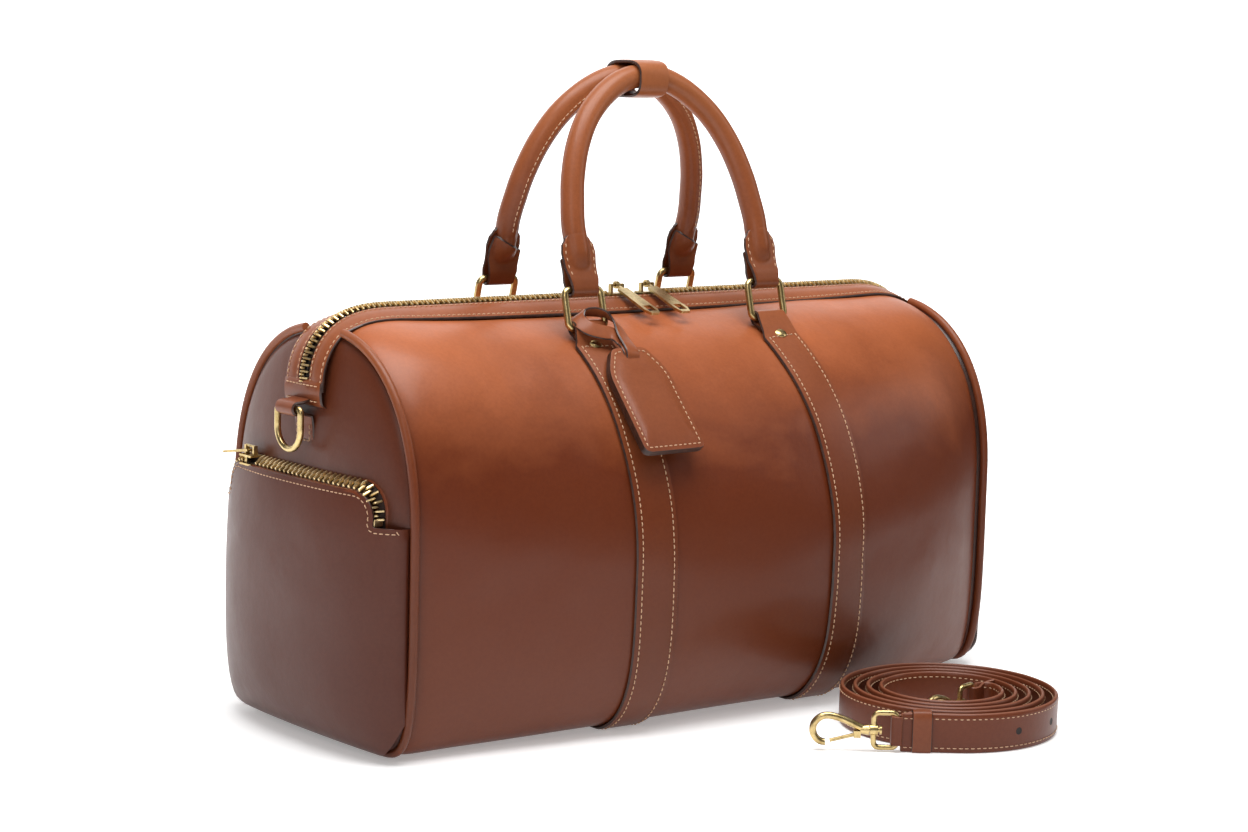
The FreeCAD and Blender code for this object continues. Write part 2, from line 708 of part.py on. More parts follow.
def pocket_arch(near, far, lift, thick):
    """Strip along the arched mouth between two distances out from the end."""
    def wire(grow):
        arch = POCKET_ARCH - 4 + grow
        top = POCKET_TOP - 4 + grow
        corner = POCKET_BEND - 4 + grow
        a = V(0, -arch, POCKET_STEP + 1)
        b = V(0, -arch, top - corner)
        c = V(0, -arch + corner, top)
        near = corner * (1 - math.sqrt(0.5))
        mid = V(0, -arch + near, top - near)
        return [a, b, mid, c]
    def rail(p):
        q = [V(0, -v.y, v.z) for v in p]
        return [Part.makeLine(p[0], p[1]), Part.Arc(p[1], p[2], p[3]).toShape(), Part.makeLine(p[3], q[3]),
                Part.Arc(q[3], q[2], q[1]).toShape(), Part.makeLine(q[1], q[0])]

    outer = wire(lift + thick)
    inner = wire(lift)
    far_outer = V(0, -outer[0].y, outer[0].z)
    far_inner = V(0, -inner[0].y, inner[0].z)
    edges = rail(outer) + [Part.makeLine(far_outer, far_inner)]
    edges += list(reversed(rail(inner))) + [Part.makeLine(inner[0], outer[0])]
    body = Part.Face(Part.Wire(edges)).extrude(V(-(far - near), 0, 0))
    body.translate(V(-near, 0, 0))
    return body


def pocket_zip_teeth():
    """Teeth along the level part of the pocket zip and down both corners."""
    arch = POCKET_ARCH - 4
    top = POCKET_TOP - 4.4
    corner = POCKET_BEND - 4
    level = arch - corner
    pieces = []

    def tooth(y, z, turn, side):
        block = Part.makeBox(4.4, 1.3, 3.0, V(-0.5 if side > 0 else -3.9, -0.65, -1.5))
        block.rotate(V(0, 0, 0), V(1, 0, 0), turn)
        block.translate(V(-POCKET_ZIP_X, y, z))
        pieces.append(block)

    half = TOOTH_PITCH / 2
    for i in range(int(2 * level / half)):
        y = -level + i * half
        if abs(y - POCKET_SLIDER_Y) > 8.5:
            tooth(y, top, 0, 1 if i % 2 else -1)
    turns = int(math.radians(90) * corner / half)
    for i in range(1, turns):
        a = math.radians(90.0 * i / turns)
        y = level + corner * math.sin(a)
        z = top - corner + corner * math.cos(a)
        tooth(y, z, -math.degrees(a), 1 if i % 2 else -1)
        tooth(-y, z, math.degrees(a), 1 if i % 2 else -1)
    return group(pieces)


def pocket_slider():
    body = slider_body()
    body.rotate(V(0, 0, 0), V(0, 0, 1), 90)
    body.translate(V(-POCKET_ZIP_X, POCKET_SLIDER_Y, POCKET_TOP - 2.0))
    return body


def pocket_pull():
    """Pull of the pocket slider, lying over the rear corner of the pocket."""
    body = pin_pull(29.0, 9.0)
    body.rotate(V(0, 0, 0), V(1, 0, 0), POCKET_PULL_TILT)
    body.rotate(V(0, 0, 0), V(0, 0, 1), 180)
    body.translate(V(-POCKET_ZIP_X, POCKET_SLIDER_Y, POCKET_TOP - 2.0 + PIN_RISE))
    return body


def slip_pocket():
    """Open-topped flat pocket sewn to the +X end."""
    def block(inset, near, far):
        def outline(x, half, top):
            corners = [V(x, -half, 5 + inset), V(x, half, 5 + inset), V(x, half, top), V(x, -half, top)]
            return outline_wire(corners, [26.0 - inset, 26.0 - inset, 2.0, 2.0])
        return loft([outline(near, POCKET_HALF - inset, 172 + 3 * inset),
                     outline(far, POCKET_HALF - 12 - inset, 170 + 3 * inset)], True)
    near = HALF_LENGTH + 6.5
    far = HALF_LENGTH + DOME + 9
    return block(0, near, far).cut(block(LEATHER, near - 2, far - LEATHER))


# ---- shoulder strap --------------------------------------------------------------------------------------

def strap_line(side):
    """Line of the strap in plan, offset sideways: outer run, spiral turns, then the bend to the inner hook."""
    tangent_point = COIL_CENTRE + LEAVE * COIL_RADIUS
    points = [tangent_point + OUT_DIR * (OUTER_RUN * (1 - i / 3.0)) + LEAVE * side for i in range(3)]
    steps = 96
    for i in range(steps + 1):
        turn = SWEEP * i / steps
        radius = COIL_RADIUS - (COIL_RADIUS - COIL_INNER) * turn / SWEEP + side
        a = math.radians(LEAVE_ANGLE + turn)
        points.append(COIL_CENTRE + V(math.cos(a), math.sin(a), 0) * radius)
    hub = bend_hub()
    for i in range(1, 7):
        a = math.radians(INNER_ANGLE + (INNER_HEADING - 90 - INNER_ANGLE) * i / 6.0)
        points.append(hub + V(math.cos(a), math.sin(a), 0) * (BEND + side))
    return points


def bend_hub():
    a = math.radians(INNER_ANGLE)
    return COIL_CENTRE + V(math.cos(a), math.sin(a), 0) * (COIL_INNER - BEND)


def strap():
    half = STRAP_THICK / 2
    wire = strip_wire(strap_line(half), strap_line(-half))
    return Part.Face(wire).extrude(V(0, 0, STRAP_WIDTH))


def hook_frame(place):
    """Turn a part made along +X from its ring bar to one end of the strap."""
    def put(shape):
        point, heading = place
        shape.rotate(V(0, 0, 0), V(0, 0, 1), heading)
        shape.translate(point)
        return shape
    return put


def outer_place():
    point = COIL_CENTRE + LEAVE * COIL_RADIUS + OUT_DIR * (OUTER_RUN + 3.4)
    return V(point.x, point.y, STRAP_WIDTH / 2 + 1.2), math.degrees(math.atan2(OUT_DIR.y, OUT_DIR.x))


def inner_place():
    a = math.radians(INNER_HEADING - 90)
    heading = V(math.cos(math.radians(INNER_HEADING)), math.sin(math.radians(INNER_HEADING)), 0)
    point = bend_hub() + V(math.cos(a), math.sin(a), 0) * BEND + heading * 3.4
    return V(point.x, point.y, STRAP_WIDTH / 2 + 1.2), INNER_HEADING


def strap_ring():
    """Rectangular ring at the strap's end: bar upright at the origin, with a swivel collar at its far side."""
    corners = [V(0, 0, -11.4), V(15, 0, -11.4), V(15, 0, 11.4), V(0, 0, 11.4)]
    frame = pipe(rounded_polygon(corners, 3.6), 1.8)
    collar = Part.makeCylinder(3.6, 5.0, V(12.5, 0, 0), V(1, 0, 0))
    return frame.fuse(collar).cut(Part.makeCylinder(1.9, 9.0, V(11, 0, 0), V(1, 0, 0))).removeSplitter()


def strap_fold():
    """Leather fold of the strap round the ring bar, with its keeper band."""
    eye = Part.makeCylinder(4.2, 17.6, V(0, 0, -8.8))
    leg = Part.makeBox(4.5, 7.4, 17.6, V(-4.5, -3.7, -8.8))
    eye = eye.fuse(leg).cut(Part.makeCylinder(2.15, 20, V(0, 0, -10)))
    stop = Part.makeBox(20, 20, 30, V(-23.2, -10, -15))
    return eye.cut(stop)


def strap_keeper():
    outer = Part.makeBox(12, 8.8, STRAP_WIDTH + 1.8, V(-22, -4.4, -STRAP_WIDTH / 2 - 1.1))
    inner = Part.makeBox(14, 3.8, STRAP_WIDTH + 0.6, V(-23, -1.9, -STRAP_WIDTH / 2 - 0.5))
    return outer.cut(inner)


def snap_hook():
    """Swivel hook: stem in the collar, shoulder, and a bow that runs round to meet its gate."""
    stem = Part.makeCylinder(1.6, 9.0, V(10.2, 0, 0), V(1, 0, 0))
    button = Part.makeCylinder(2.9, 1.3, V(10.0, 0, 0), V(1, 0, 0))
    shoulder = Part.makeCone(3.6, 2.6, 5.5, V(18.2, 0, 0), V(1, 0, 0))
    points = [V(22.5, 0, 1.0), V(31, 0, 5.0), V(40, 0, 8.2), V(48, 0, 8.4), V(53.4, 0, 3.6), V(53.8, 0, -3.0)]
    points += [V(50.5, 0, -7.4), V(46.2, 0, -8.6)]
    bow = pipe(Part.Wire([smooth_edge(points)]), 2.3)
    ear_a = Part.makeBox(4.6, 1.0, 4.4, V(23.4, -2.6, -5.0))
    ear_b = Part.makeBox(4.6, 1.0, 4.4, V(23.4, 1.6, -5.0))
    return stem.fuse([button, shoulder, bow, ear_a, ear_b]).removeSplitter()


def hook_gate():
    """Sprung gate that closes the bow, pivoted at the shoulder end."""
    a = V(25.8, 0, -3.0)
    b = V(43.2, 0, -7.6)
    bar = Part.makeCylinder(1.2, (b - a).Length, a, b - a)
    knuckle = Part.makeCylinder(1.9, 2.6, V(25.8, -1.3, -3.0), V(0, 1, 0))
    return bar.fuse(knuckle).removeSplitter()


# ---- write -----------------------------------------------------------------------------------------------

def save_pairs():
    """Parts that repeat at front and rear or at both ends."""
    panel = side_panel()
    save("front_panel", panel)
    save("rear_panel", mirror_y(panel))
    inner = side_lining()
    save("front_lining", inner)
    save("rear_lining", mirror_y(inner))
    cap = end_panel()
    save("right_end_panel", cap)
    save("left_end_panel", mirror_x(cap))
    bead = piping()
    save("right_piping", bead)
    save("left_piping", mirror_x(bead))


def save_bands():
    for side, x in (("left", -BAND_X), ("right", BAND_X)):
        front = [band_side(x)]
        loops = ring_loop(x)
        save("%s_band" % side, group(front + [mirror_y(front[0])]))
        save("%s_ring_loops" % side, group([loops, mirror_y(loops)]))
        head = rivet(x)
        save("%s_rivets" % side, group([head, mirror_y(head)]))
        ring = lean(ring_frame(), x)
        save("front_%s_ring" % side, ring)
        save("rear_%s_ring" % side, mirror_y(ring))


def save_handles():
    cover = handle_cover()
    save("front_handle", cover)
    save("rear_handle", mirror_y(cover))
    core = handle_core()
    save("front_handle_core", core)
    save("rear_handle_core", mirror_y(core))
    save("handle_keeper", keeper())


def save_zip():
    strip = zip_strip(GUSSET_NEAR, GUSSET_EDGE, 0, 1.0, GUSSET_THICK)
    save("gusset_front", strip)
    save("gusset_rear", mirror_y(strip))
    tape = zip_strip(CHAIN_SLOT, TAPE_EDGE, GUSSET_THICK + 0.2, 0.12, TAPE_THICK)
    save("zip_tapes", group([tape, mirror_y(tape)]))
    save("zip_teeth", zip_teeth())
    cap = zip_end_cap()
    save("gusset_ends", group([cap, mirror_x(cap)]))
    slider = main_slider()
    pull = main_pull()
    save("right_slider", slider)
    save("left_slider", mirror_x(slider))
    save("right_pull", pull)
    save("left_pull", mirror_x(pull))


def save_ends():
    ring = end_ring()
    save("right_end_ring", ring)
    save("left_end_ring", mirror_x(ring))
    tab = end_tab()
    save("right_end_tab", tab)
    save("left_end_tab", mirror_x(tab))
    save("pocket_panel", pocket_panel())
    strips = [pocket_arch(HALF_LENGTH + 7, POCKET_ZIP_X - 5.4, 0, 1.8)]
    strips.append(pocket_arch(POCKET_ZIP_X + 5.4, POCKET_ZIP_X + 7.6, 0, 1.8))
    save("pocket_zip_strips", group(strips))
    tapes = [pocket_arch(POCKET_ZIP_X - 9, POCKET_ZIP_X - CHAIN_SLOT, -1.0, 0.8)]
    tapes.append(pocket_arch(POCKET_ZIP_X + CHAIN_SLOT, POCKET_ZIP_X + 7.6, -1.0, 0.8))
    save("pocket_zip_tapes", group(tapes))
    save("pocket_zip_teeth", pocket_zip_teeth())
    save("pocket_slider", pocket_slider())
    save("pocket_pull", pocket_pull())
    save("slip_pocket", slip_pocket())


def save_strap():
    save("shoulder_strap", strap())
    for name, place in (("outer", outer_place()), ("inner", inner_place())):
        put = hook_frame(place)
        save("%s_strap_ring" % name, put(strap_ring()))
        save("%s_strap_fold" % name, put(strap_fold()))
        save("%s_hook" % name, put(snap_hook()))
        save("%s_hook_gate" % name, put(hook_gate()))
    save("strap_keeper", hook_frame(outer_place())(strap_keeper()))


os.makedirs("parts", exist_ok=True)
save_pairs()
save("base_panel", base_plate(HALF_LENGTH - 1, 0, LEATHER, SEAM_GAP))
save("base_board", base_plate(HALF_LENGTH - 12, LEATHER + 0.5, LEATHER + 3.0, 6.0))
save_bands()
save_handles()
save_zip()
save("tag_front", tag_front())
save("tag_back", tag_back())
save("tag_card", tag_card())
save("tag_thong", tag_thong())
save_ends()
save_strap()
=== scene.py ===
"""Looks for the leather duffel: skins, seams, zips, handles, tag and coiled strap round the CAD frame."""
import bpy
import math
from mathutils import Matrix, Vector, noise


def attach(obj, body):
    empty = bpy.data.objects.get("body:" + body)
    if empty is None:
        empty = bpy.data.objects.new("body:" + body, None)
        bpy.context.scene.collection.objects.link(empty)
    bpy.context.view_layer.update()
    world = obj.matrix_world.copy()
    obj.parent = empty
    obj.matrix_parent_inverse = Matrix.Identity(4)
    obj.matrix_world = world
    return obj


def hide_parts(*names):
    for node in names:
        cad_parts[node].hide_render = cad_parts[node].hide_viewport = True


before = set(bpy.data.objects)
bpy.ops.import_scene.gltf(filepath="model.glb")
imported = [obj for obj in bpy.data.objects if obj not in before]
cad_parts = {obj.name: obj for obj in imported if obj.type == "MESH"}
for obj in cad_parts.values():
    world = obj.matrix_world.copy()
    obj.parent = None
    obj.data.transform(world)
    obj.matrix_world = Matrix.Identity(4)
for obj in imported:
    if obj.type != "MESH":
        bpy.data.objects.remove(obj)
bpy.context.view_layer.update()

MM = 0.001

# Body sizes in millimetres, in the frame of the CAD model
HALF_LENGTH = 250.0
END_HALF_WIDTH = 101.5
STUFFING = 38.5
STUFFING_DRIFT = 0.075
ZIP_LEVEL = 276.5
ZIP_END_X = 267.0
ZIP_END_Z = 226.0
ZIP_TURN_X = 205.0
ZIP_POWER = 2.5
END_CREST_DROP = 2.8
GUSSET_PITCH = 6.3
GUSSET_EDGE_DROP = 2.4
END_MIDDLE = 130.0
END_PUSH = 13.0
END_POWER = 3.2
CORD_R = 2.9
STRIP_NEAR = 5.4
STRIP_REACH = 15.6
SKIN = 2.2
BAND_X = 80.5
RING_Y = 53.0
RING_Z = 261.4
RING_HEIGHT = 26.0
RING_LEAN = math.radians(14)
RING_BAR = 2.4
STITCH_PITCH = 4.0


def mm(x, y, z):
    return Vector((x, y, z))


def bearing(degrees):
    a = math.radians(degrees)
    return mm(math.cos(a), math.sin(a), 0)


# ---- mesh helpers --------------------------------------------------------------------------------

def make_object(name, verts, faces, body, materials, smooth_angle=50, face_slots=None):
    """Mesh from points in millimetres, riding on a body."""
    mesh = bpy.data.meshes.new(name)
    mesh.from_pydata([v * MM for v in verts], [], faces)
    for material in materials:
        mesh.materials.append(material)
    if face_slots:
        mesh.polygons.foreach_set("material_index", face_slots)
    mesh.polygons.foreach_set("use_smooth", [True] * len(faces))
    mesh.validate()
    mesh.set_sharp_from_angle(angle=math.radians(smooth_angle))
    piece = bpy.data.objects.new(name, mesh)
    bpy.context.scene.collection.objects.link(piece)
    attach(piece, body)
    return piece


def slab(name, outer, inner, body, materials, round_rim=0.35, flip=False):
    """Closed sheet between two matching grids of points, with a rounded rim that takes the last material."""
    rows, cols = len(outer), len(outer[0])
    verts = [p for row in outer for p in row] + [p for row in inner for p in row]
    half = rows * cols
    faces, slots = [], []
    for i in range(rows - 1):
        for j in range(cols - 1):
            a, b, c, d = i * cols + j, i * cols + j + 1, (i + 1) * cols + j + 1, (i + 1) * cols + j
            faces += [(a, b, c, d), (half + d, half + c, half + b, half + a)]
            slots += [0, 0]
    ring = [(0, j) for j in range(cols)] + [(i, cols - 1) for i in range(1, rows)]
    ring += [(rows - 1, j) for j in range(cols - 2, -1, -1)] + [(i, 0) for i in range(rows - 2, 0, -1)]
    start = len(verts)
    for i, j in ring:
        p, q = outer[i][j], inner[i][j]
        ii, jj = min(max(i, 1), rows - 2), min(max(j, 1), cols - 2)
        away = (p - outer[ii][jj]) if (ii, jj) != (i, j) else Vector((0, 0, 0))
        if away.length > 1e-6:
            away.normalize()
        verts.append((p + q) / 2 + away * round_rim * (p - q).length)
    count = len(ring)
    for k in range(count):
        (i, j), (m, n) = ring[k], ring[(k + 1) % count]
        a, b = i * cols + j, m * cols + n
        s, t = start + k, start + (k + 1) % count
        faces += [(b, a, s, t), (half + a, half + b, t, s)]
        slots += [len(materials) - 1] * 2
    if flip:
        faces = [tuple(reversed(f)) for f in faces]
    return make_object(name, verts, faces, body, materials, face_slots=slots)


def sweep(name, rings, body, materials, smooth_angle=50, ring_slots=None):
    """Closed tube through rings of points."""
    cols = len(rings[0])
    verts = [p for ring in rings for p in ring]
    faces, slots = [], []
    for i in range(len(rings) - 1):
        for j in range(cols):
            k = (j + 1) % cols
            faces.append((i * cols + j, i * cols + k, (i + 1) * cols + k, (i + 1) * cols + j))
            slots.append(ring_slots[j] if ring_slots else 0)
    faces.append(tuple(reversed(range(cols))))
    faces.append(tuple((len(rings) - 1) * cols + j for j in range(cols)))
    slots += [0, 0]
    return make_object(name, verts, faces, body, materials, smooth_angle, slots)


def smooth_line(points, steps=8):
    """Catmull-Rom line through given points."""
    found = []
    last = len(points) - 1
    for i in range(last):
        p0, p1, p2, p3 = points[max(i - 1, 0)], points[i], points[i + 1], points[min(i + 2, last)]
        for k in range(steps):
            t = k / steps
            found.append(0.5 * (2 * p1 + (p2 - p0) * t + (2 * p0 - 5 * p1 + 4 * p2 - p3) * t * t
                                + (3 * p1 - p0 - 3 * p2 + p3) * t * t * t))
    return found + [points[-1]]


def resample(points, pitch, normals=None):
    """Points at an even pitch along a line, with tangents and normals."""
    gaps = [(points[i + 1] - points[i]).length for i in range(len(points) - 1)]
    total = sum(gaps)
    count = max(2, int(total / pitch))
    found, i, run = [], 0, 0.0
    for k in range(count):
        reach = (k + 0.5) * total / count
        while i < len(gaps) - 1 and run + gaps[i] < reach:
            run += gaps[i]
            i += 1
        share = (reach - run) / max(gaps[i], 1e-9)
        p = points[i].lerp(points[i + 1], min(share, 1.0))
        t = (points[i + 1] - points[i]).normalized()
        n = normals[i].lerp(normals[i + 1], min(share, 1.0)).normalized() if normals else None
        found.append((p, t, n))
    return found


def line_frames(points):
    """Tangent at every point of a line."""
    last = len(points) - 1
    return [(points[min(i + 1, last)] - points[max(i - 1, 0)]).normalized() for i in range(last + 1)]


def thread(name, lines, body, pitch=STITCH_PITCH, length=2.9, radius=0.42, sink=0.12):
    """Rows of stitches. Each line is (points, normals)."""
    verts, faces = [], []
    shape = [(-0.5, 0.25, -1.2), (-0.36, 0.85, -0.25), (0.0, 1.0, 0.25),
             (0.36, 0.85, -0.25), (0.5, 0.25, -1.2)]
    sides = 6
    for points, normals in lines:
        for p, t, n in resample(points, pitch, normals):
            across = n.cross(t).normalized()
            base = len(verts)
            for along, swell, rise in shape:
                centre = p + t * (along * length) + n * (rise * radius - sink + radius * 0.4)
                for k in range(sides):
                    a = 2 * math.pi * k / sides
                    verts.append(centre + (across * math.cos(a) + n * math.sin(a)) * radius * swell)
            for i in range(len(shape) - 1):
                for k in range(sides):
                    m = (k + 1) % sides
                    faces.append((base + i * sides + k, base + i * sides + m,
                                  base + (i + 1) * sides + m, base + (i + 1) * sides + k))
            faces.append(tuple(base + k for k in reversed(range(sides))))
            faces.append(tuple(base + (len(shape) - 1) * sides + k for k in range(sides)))
    return make_object(name, verts, faces, body, [THREAD], 180)


# ---- materials -----------------------------------------------------------------------------------

def new_material(name):
    material = bpy.data.materials.new(name)
    material.use_nodes = True
    tree = material.node_tree
    return material, tree, tree.nodes["Principled BSDF"]


def ramp_node(tree, source, stops):
    ramp = tree.nodes.new("ShaderNodeValToRGB")
    elements = ramp.color_ramp.elements
    while len(elements) < len(stops):
        elements.new(0.5)
    for element, (at, colour) in zip(elements, stops):
        element.position = at
        element.color = (*colour, 1)
    tree.links.new(source, ramp.inputs["Fac"])
    return ramp.outputs["Color"]


def noise_node(tree, place, scale, detail=3, rough=0.55, distortion=0.0):
    node = tree.nodes.new("ShaderNodeTexNoise")
    node.inputs["Scale"].default_value = scale
    node.inputs["Detail"].default_value = detail
    node.inputs["Roughness"].default_value = rough
    node.inputs["Distortion"].default_value = distortion
    tree.links.new(place, node.inputs["Vector"])
    return node.outputs["Fac"]


def math_node(tree, kind, a, b, clamp=False):
    node = tree.nodes.new("ShaderNodeMath")
    node.operation = kind
    node.use_clamp = clamp
    for socket, value in zip(node.inputs, (a, b)):
        if isinstance(value, (int, float)):
            socket.default_value = value
        else:
            tree.links.new(value, socket)
    return node.outputs[0]


def mix_node(tree, fac, a, b, blend="MIX"):
    node = tree.nodes.new("ShaderNodeMix")
    node.data_type = "RGBA"
    node.blend_type = blend
    for socket, value in ((node.inputs[0], fac), (node.inputs[6], a), (node.inputs[7], b)):
        if isinstance(value, (int, float)):
            socket.default_value = value
        elif isinstance(value, tuple):
            socket.default_value = (*value, 1)
        else:
            tree.links.new(value, socket)
    return node.outputs[2]


def bump_node(tree, height, strength, distance):
    bump = tree.nodes.new("ShaderNodeBump")
    bump.inputs["Strength"].default_value = strength
    bump.inputs["Distance"].default_value = distance
    tree.links.new(height, bump.inputs["Height"])
    return bump


def object_place(tree):
    return tree.nodes.new("ShaderNodeTexCoord").outputs["Object"]


def height_share(tree, place, low, high):
    split = tree.nodes.new("ShaderNodeSeparateXYZ")
    tree.links.new(place, split.inputs[0])
    span = tree.nodes.new("ShaderNodeMapRange")
    span.inputs["From Min"].default_value = low * MM
    span.inputs["From Max"].default_value = high * MM
    tree.links.new(split.outputs["Z"], span.inputs["Value"])
    return span.outputs["Result"]


def leather(name, dark, middle, light, low, high, roughness=0.38, coat=0.045):
    """Polished leather: colour painted lighter towards the top as painted light from above, cloudy dye, fine
    pores and soft waves in the gloss.
    """
    material, tree, shader = new_material(name)
    place = object_place(tree)
    cloud = noise_node(tree, place, 9.0, 4, 0.6, 0.4)
    # painted light: the colour ramps from the dark stop low down to the light stop high up, standing in for
    # the light falling from above
    share = height_share(tree, place, low, high)
    wander = math_node(tree, "MULTIPLY_ADD", cloud, 0.5)
    wander.node.inputs[2].default_value = -0.25
    share = math_node(tree, "ADD", share, wander, clamp=True)
    colour = ramp_node(tree, share, [(0.0, dark), (0.5, middle), (1.0, light)])
    fleck = noise_node(tree, place, 420.0, 4, 0.7)
    fleck_colour = ramp_node(tree, fleck, [(0.35, (0.80, 0.76, 0.74)), (0.62, (1.0, 1.0, 1.0))])
    colour = mix_node(tree, 0.5, colour, fleck_colour, "MULTIPLY")
    tree.links.new(colour, shader.inputs["Base Color"])
    gloss = noise_node(tree, place, 60.0, 5, 0.6)
    rough = math_node(tree, "MULTIPLY_ADD", gloss, 0.16)
    rough.node.inputs[2].default_value = roughness - 0.08
    tree.links.new(rough, shader.inputs["Roughness"])
    shader.inputs["Coat Weight"].default_value = coat
    shader.inputs["Coat Roughness"].default_value = 0.16
    shader.inputs["Specular IOR Level"].default_value = 0.26
    pores = tree.nodes.new("ShaderNodeTexVoronoi")
    pores.inputs["Scale"].default_value = 1150.0
    tree.links.new(place, pores.inputs["Vector"])
    fine = bump_node(tree, pores.outputs["Distance"], 0.10, 0.00025)
    wave = noise_node(tree, place, 34.0, 3, 0.5)
    soft = bump_node(tree, wave, 0.22, 0.0025)
    tree.links.new(soft.outputs["Normal"], fine.inputs["Normal"])
    tree.links.new(fine.outputs["Normal"], shader.inputs["Normal"])
    return material


def painted_edge():
    """Dark wax-painted cut edge."""
    material, tree, shader = new_material("edge_paint")
    place = object_place(tree)
    stops = [(0.3, (0.020, 0.007, 0.004)), (0.8, (0.060, 0.020, 0.011))]
    colour = ramp_node(tree, noise_node(tree, place, 260.0, 3), stops)
    tree.links.new(colour, shader.inputs["Base Color"])
    shader.inputs["Roughness"].default_value = 0.38
    return material


def brass(name, light, dark, roughness):
    """Antique pale-gold metal with darker patina in cloudy patches and fine scratches."""
    material, tree, shader = new_material(name)
    place = object_place(tree)
    patina = noise_node(tree, place, 130.0, 6, 0.65, 0.3)
    colour = ramp_node(tree, patina, [(0.30, dark), (0.58, light)])
    tree.links.new(colour, shader.inputs["Base Color"])
    shader.inputs["Metallic"].default_value = 1.0
    scratch = noise_node(tree, place, 900.0, 4, 0.7)
    rough = math_node(tree, "MULTIPLY_ADD", scratch, 0.22)
    rough.node.inputs[2].default_value = roughness - 0.11
    tree.links.new(rough, shader.inputs["Roughness"])
    bump = bump_node(tree, patina, 0.12, 0.0002)
    tree.links.new(bump.outputs["Normal"], shader.inputs["Normal"])
    return material


def cloth(name, light, dark, pitch):
    """Woven tape or thread."""
    material, tree, shader = new_material(name)
    place = object_place(tree)
    weave = tree.nodes.new("ShaderNodeTexWave")
    weave.bands_direction = "X"
    weave.inputs["Scale"].default_value = pitch
    weave.inputs["Distortion"].default_value = 0.6
    tree.links.new(place, weave.inputs["Vector"])
    colour = ramp_node(tree, weave.outputs["Fac"], [(0.0, dark), (1.0, light)])
    tree.links.new(colour, shader.inputs["Base Color"])
    shader.inputs["Roughness"].default_value = 0.85
    bump = bump_node(tree, weave.outputs["Fac"], 0.5, 0.0003)
    tree.links.new(bump.outputs["Normal"], shader.inputs["Normal"])
    return material


def hole_shade_paint():
    # painted shade: near-black colour for the strap's holes, standing in for the shade inside them
    material, tree, shader = new_material("hole_shade_paint")
    shader.inputs["Base Color"].default_value = (0.012, 0.005, 0.003, 1)
    shader.inputs["Roughness"].default_value = 0.7
    return material


# painted light: each leather's colour grows lighter from its low to its high height, most on the body, trim
# and handles; the body's lowest stop is also a little greyer than its middle, a painted reflection of the
# white floor
BODY = leather("body_leather", (0.130, 0.030, 0.0100), (0.122, 0.0235, 0.0065), (0.46, 0.130, 0.044), 60, 290)
END = leather("end_leather", (0.080, 0.019, 0.0095), (0.085, 0.019, 0.0080), (0.110, 0.026, 0.010), 0, 270,
              coat=0.05)
TRIM = leather("trim_leather", (0.120, 0.028, 0.0085), (0.145, 0.032, 0.0100), (0.30, 0.088, 0.032), 60, 290)
HANDLE = leather("handle_leather", (0.17, 0.045, 0.014), (0.25, 0.070, 0.024), (0.33, 0.105, 0.038), 270, 440)
STRAP = leather("strap_leather", (0.120, 0.028, 0.011), (0.13, 0.031, 0.012), (0.14, 0.035, 0.014), 0, 26)
KEEPER = leather("keeper_leather", (0.17, 0.045, 0.017), (0.18, 0.048, 0.018), (0.20, 0.055, 0.021), 0, 26)
STRAP_EDGE = leather("strap_edge", (0.16, 0.05, 0.025), (0.19, 0.06, 0.03), (0.24, 0.085, 0.045), 0, 26, 0.45,
                     0.05)
EDGE = painted_edge()
HOLE = hole_shade_paint()
BRASS = brass("satin_brass", (0.62, 0.47, 0.22), (0.36, 0.25, 0.10), 0.30)
TEETH = brass("teeth_brass", (0.86, 0.66, 0.36), (0.46, 0.32, 0.14), 0.34)
TAPE = cloth("zip_tape_weave", (0.030, 0.012, 0.007), (0.012, 0.005, 0.003), 700)
THREAD = cloth("thread", (0.78, 0.52, 0.33), (0.50, 0.28, 0.16), 1500)
CARD = cloth("card_stock", (0.60, 0.50, 0.38), (0.35, 0.28, 0.20), 300)


# ---- body surface --------------------------------------------------------------------------------

def fullness(x):
    return max(0.0, 1 - (x / HALF_LENGTH) ** 2)


def half_width(x):
    return END_HALF_WIDTH + fullness(x) * (STUFFING + STUFFING_DRIFT * x)


def seam_roll(x):
    """How far the leather rolls in beside the end seams."""
    return 3.4 * math.exp(-(HALF_LENGTH - abs(x)) / 4.0)


def widest_height(x):
    return 140 - 35 * fullness(x)


def zip_height(x):
    share = max(0.0, abs(x) - ZIP_TURN_X) / (ZIP_END_X - ZIP_TURN_X)
    return ZIP_END_Z + (ZIP_LEVEL - ZIP_END_Z) * max(0.0, 1 - share ** ZIP_POWER) ** (1 / ZIP_POWER)


def gusset_drop(x):
    """How far the gusset's outer edges hang below the zip: the top is peaked at mid length."""
    return GUSSET_EDGE_DROP + GUSSET_PITCH * math.sqrt(fullness(x))


def crest(x):
    return zip_height(x) - END_CREST_DROP - (GUSSET_PITCH * 0.72 + 1.2) * math.sqrt(fullness(x))


def base_half(x):
    return 0.55 * half_width(x)


def section_point(x, angle):
    """Front half of the body section at x: -90 is the base seam, 0 the widest, 90 the crest."""
    c = max(0.0, math.cos(math.radians(angle)))
    s = abs(math.sin(math.radians(angle)))
    wide, level = half_width(x), widest_height(x)
    if angle >= 0:
        power = 2.3 - 0.4 * fullness(x)
        reach = (c ** power + s ** power) ** (-1 / power)
        return mm(x, -wide * reach * c, level + (crest(x) - level) * reach * s)
    power = 5 - 2.5 * fullness(x)
    reach = (c ** power + s ** power) ** (-1 / power)
    foot = base_half(x)
    return mm(x, -foot - (wide - foot) * reach * c, 0.6 + (level - 0.6) * (1 - reach * s))


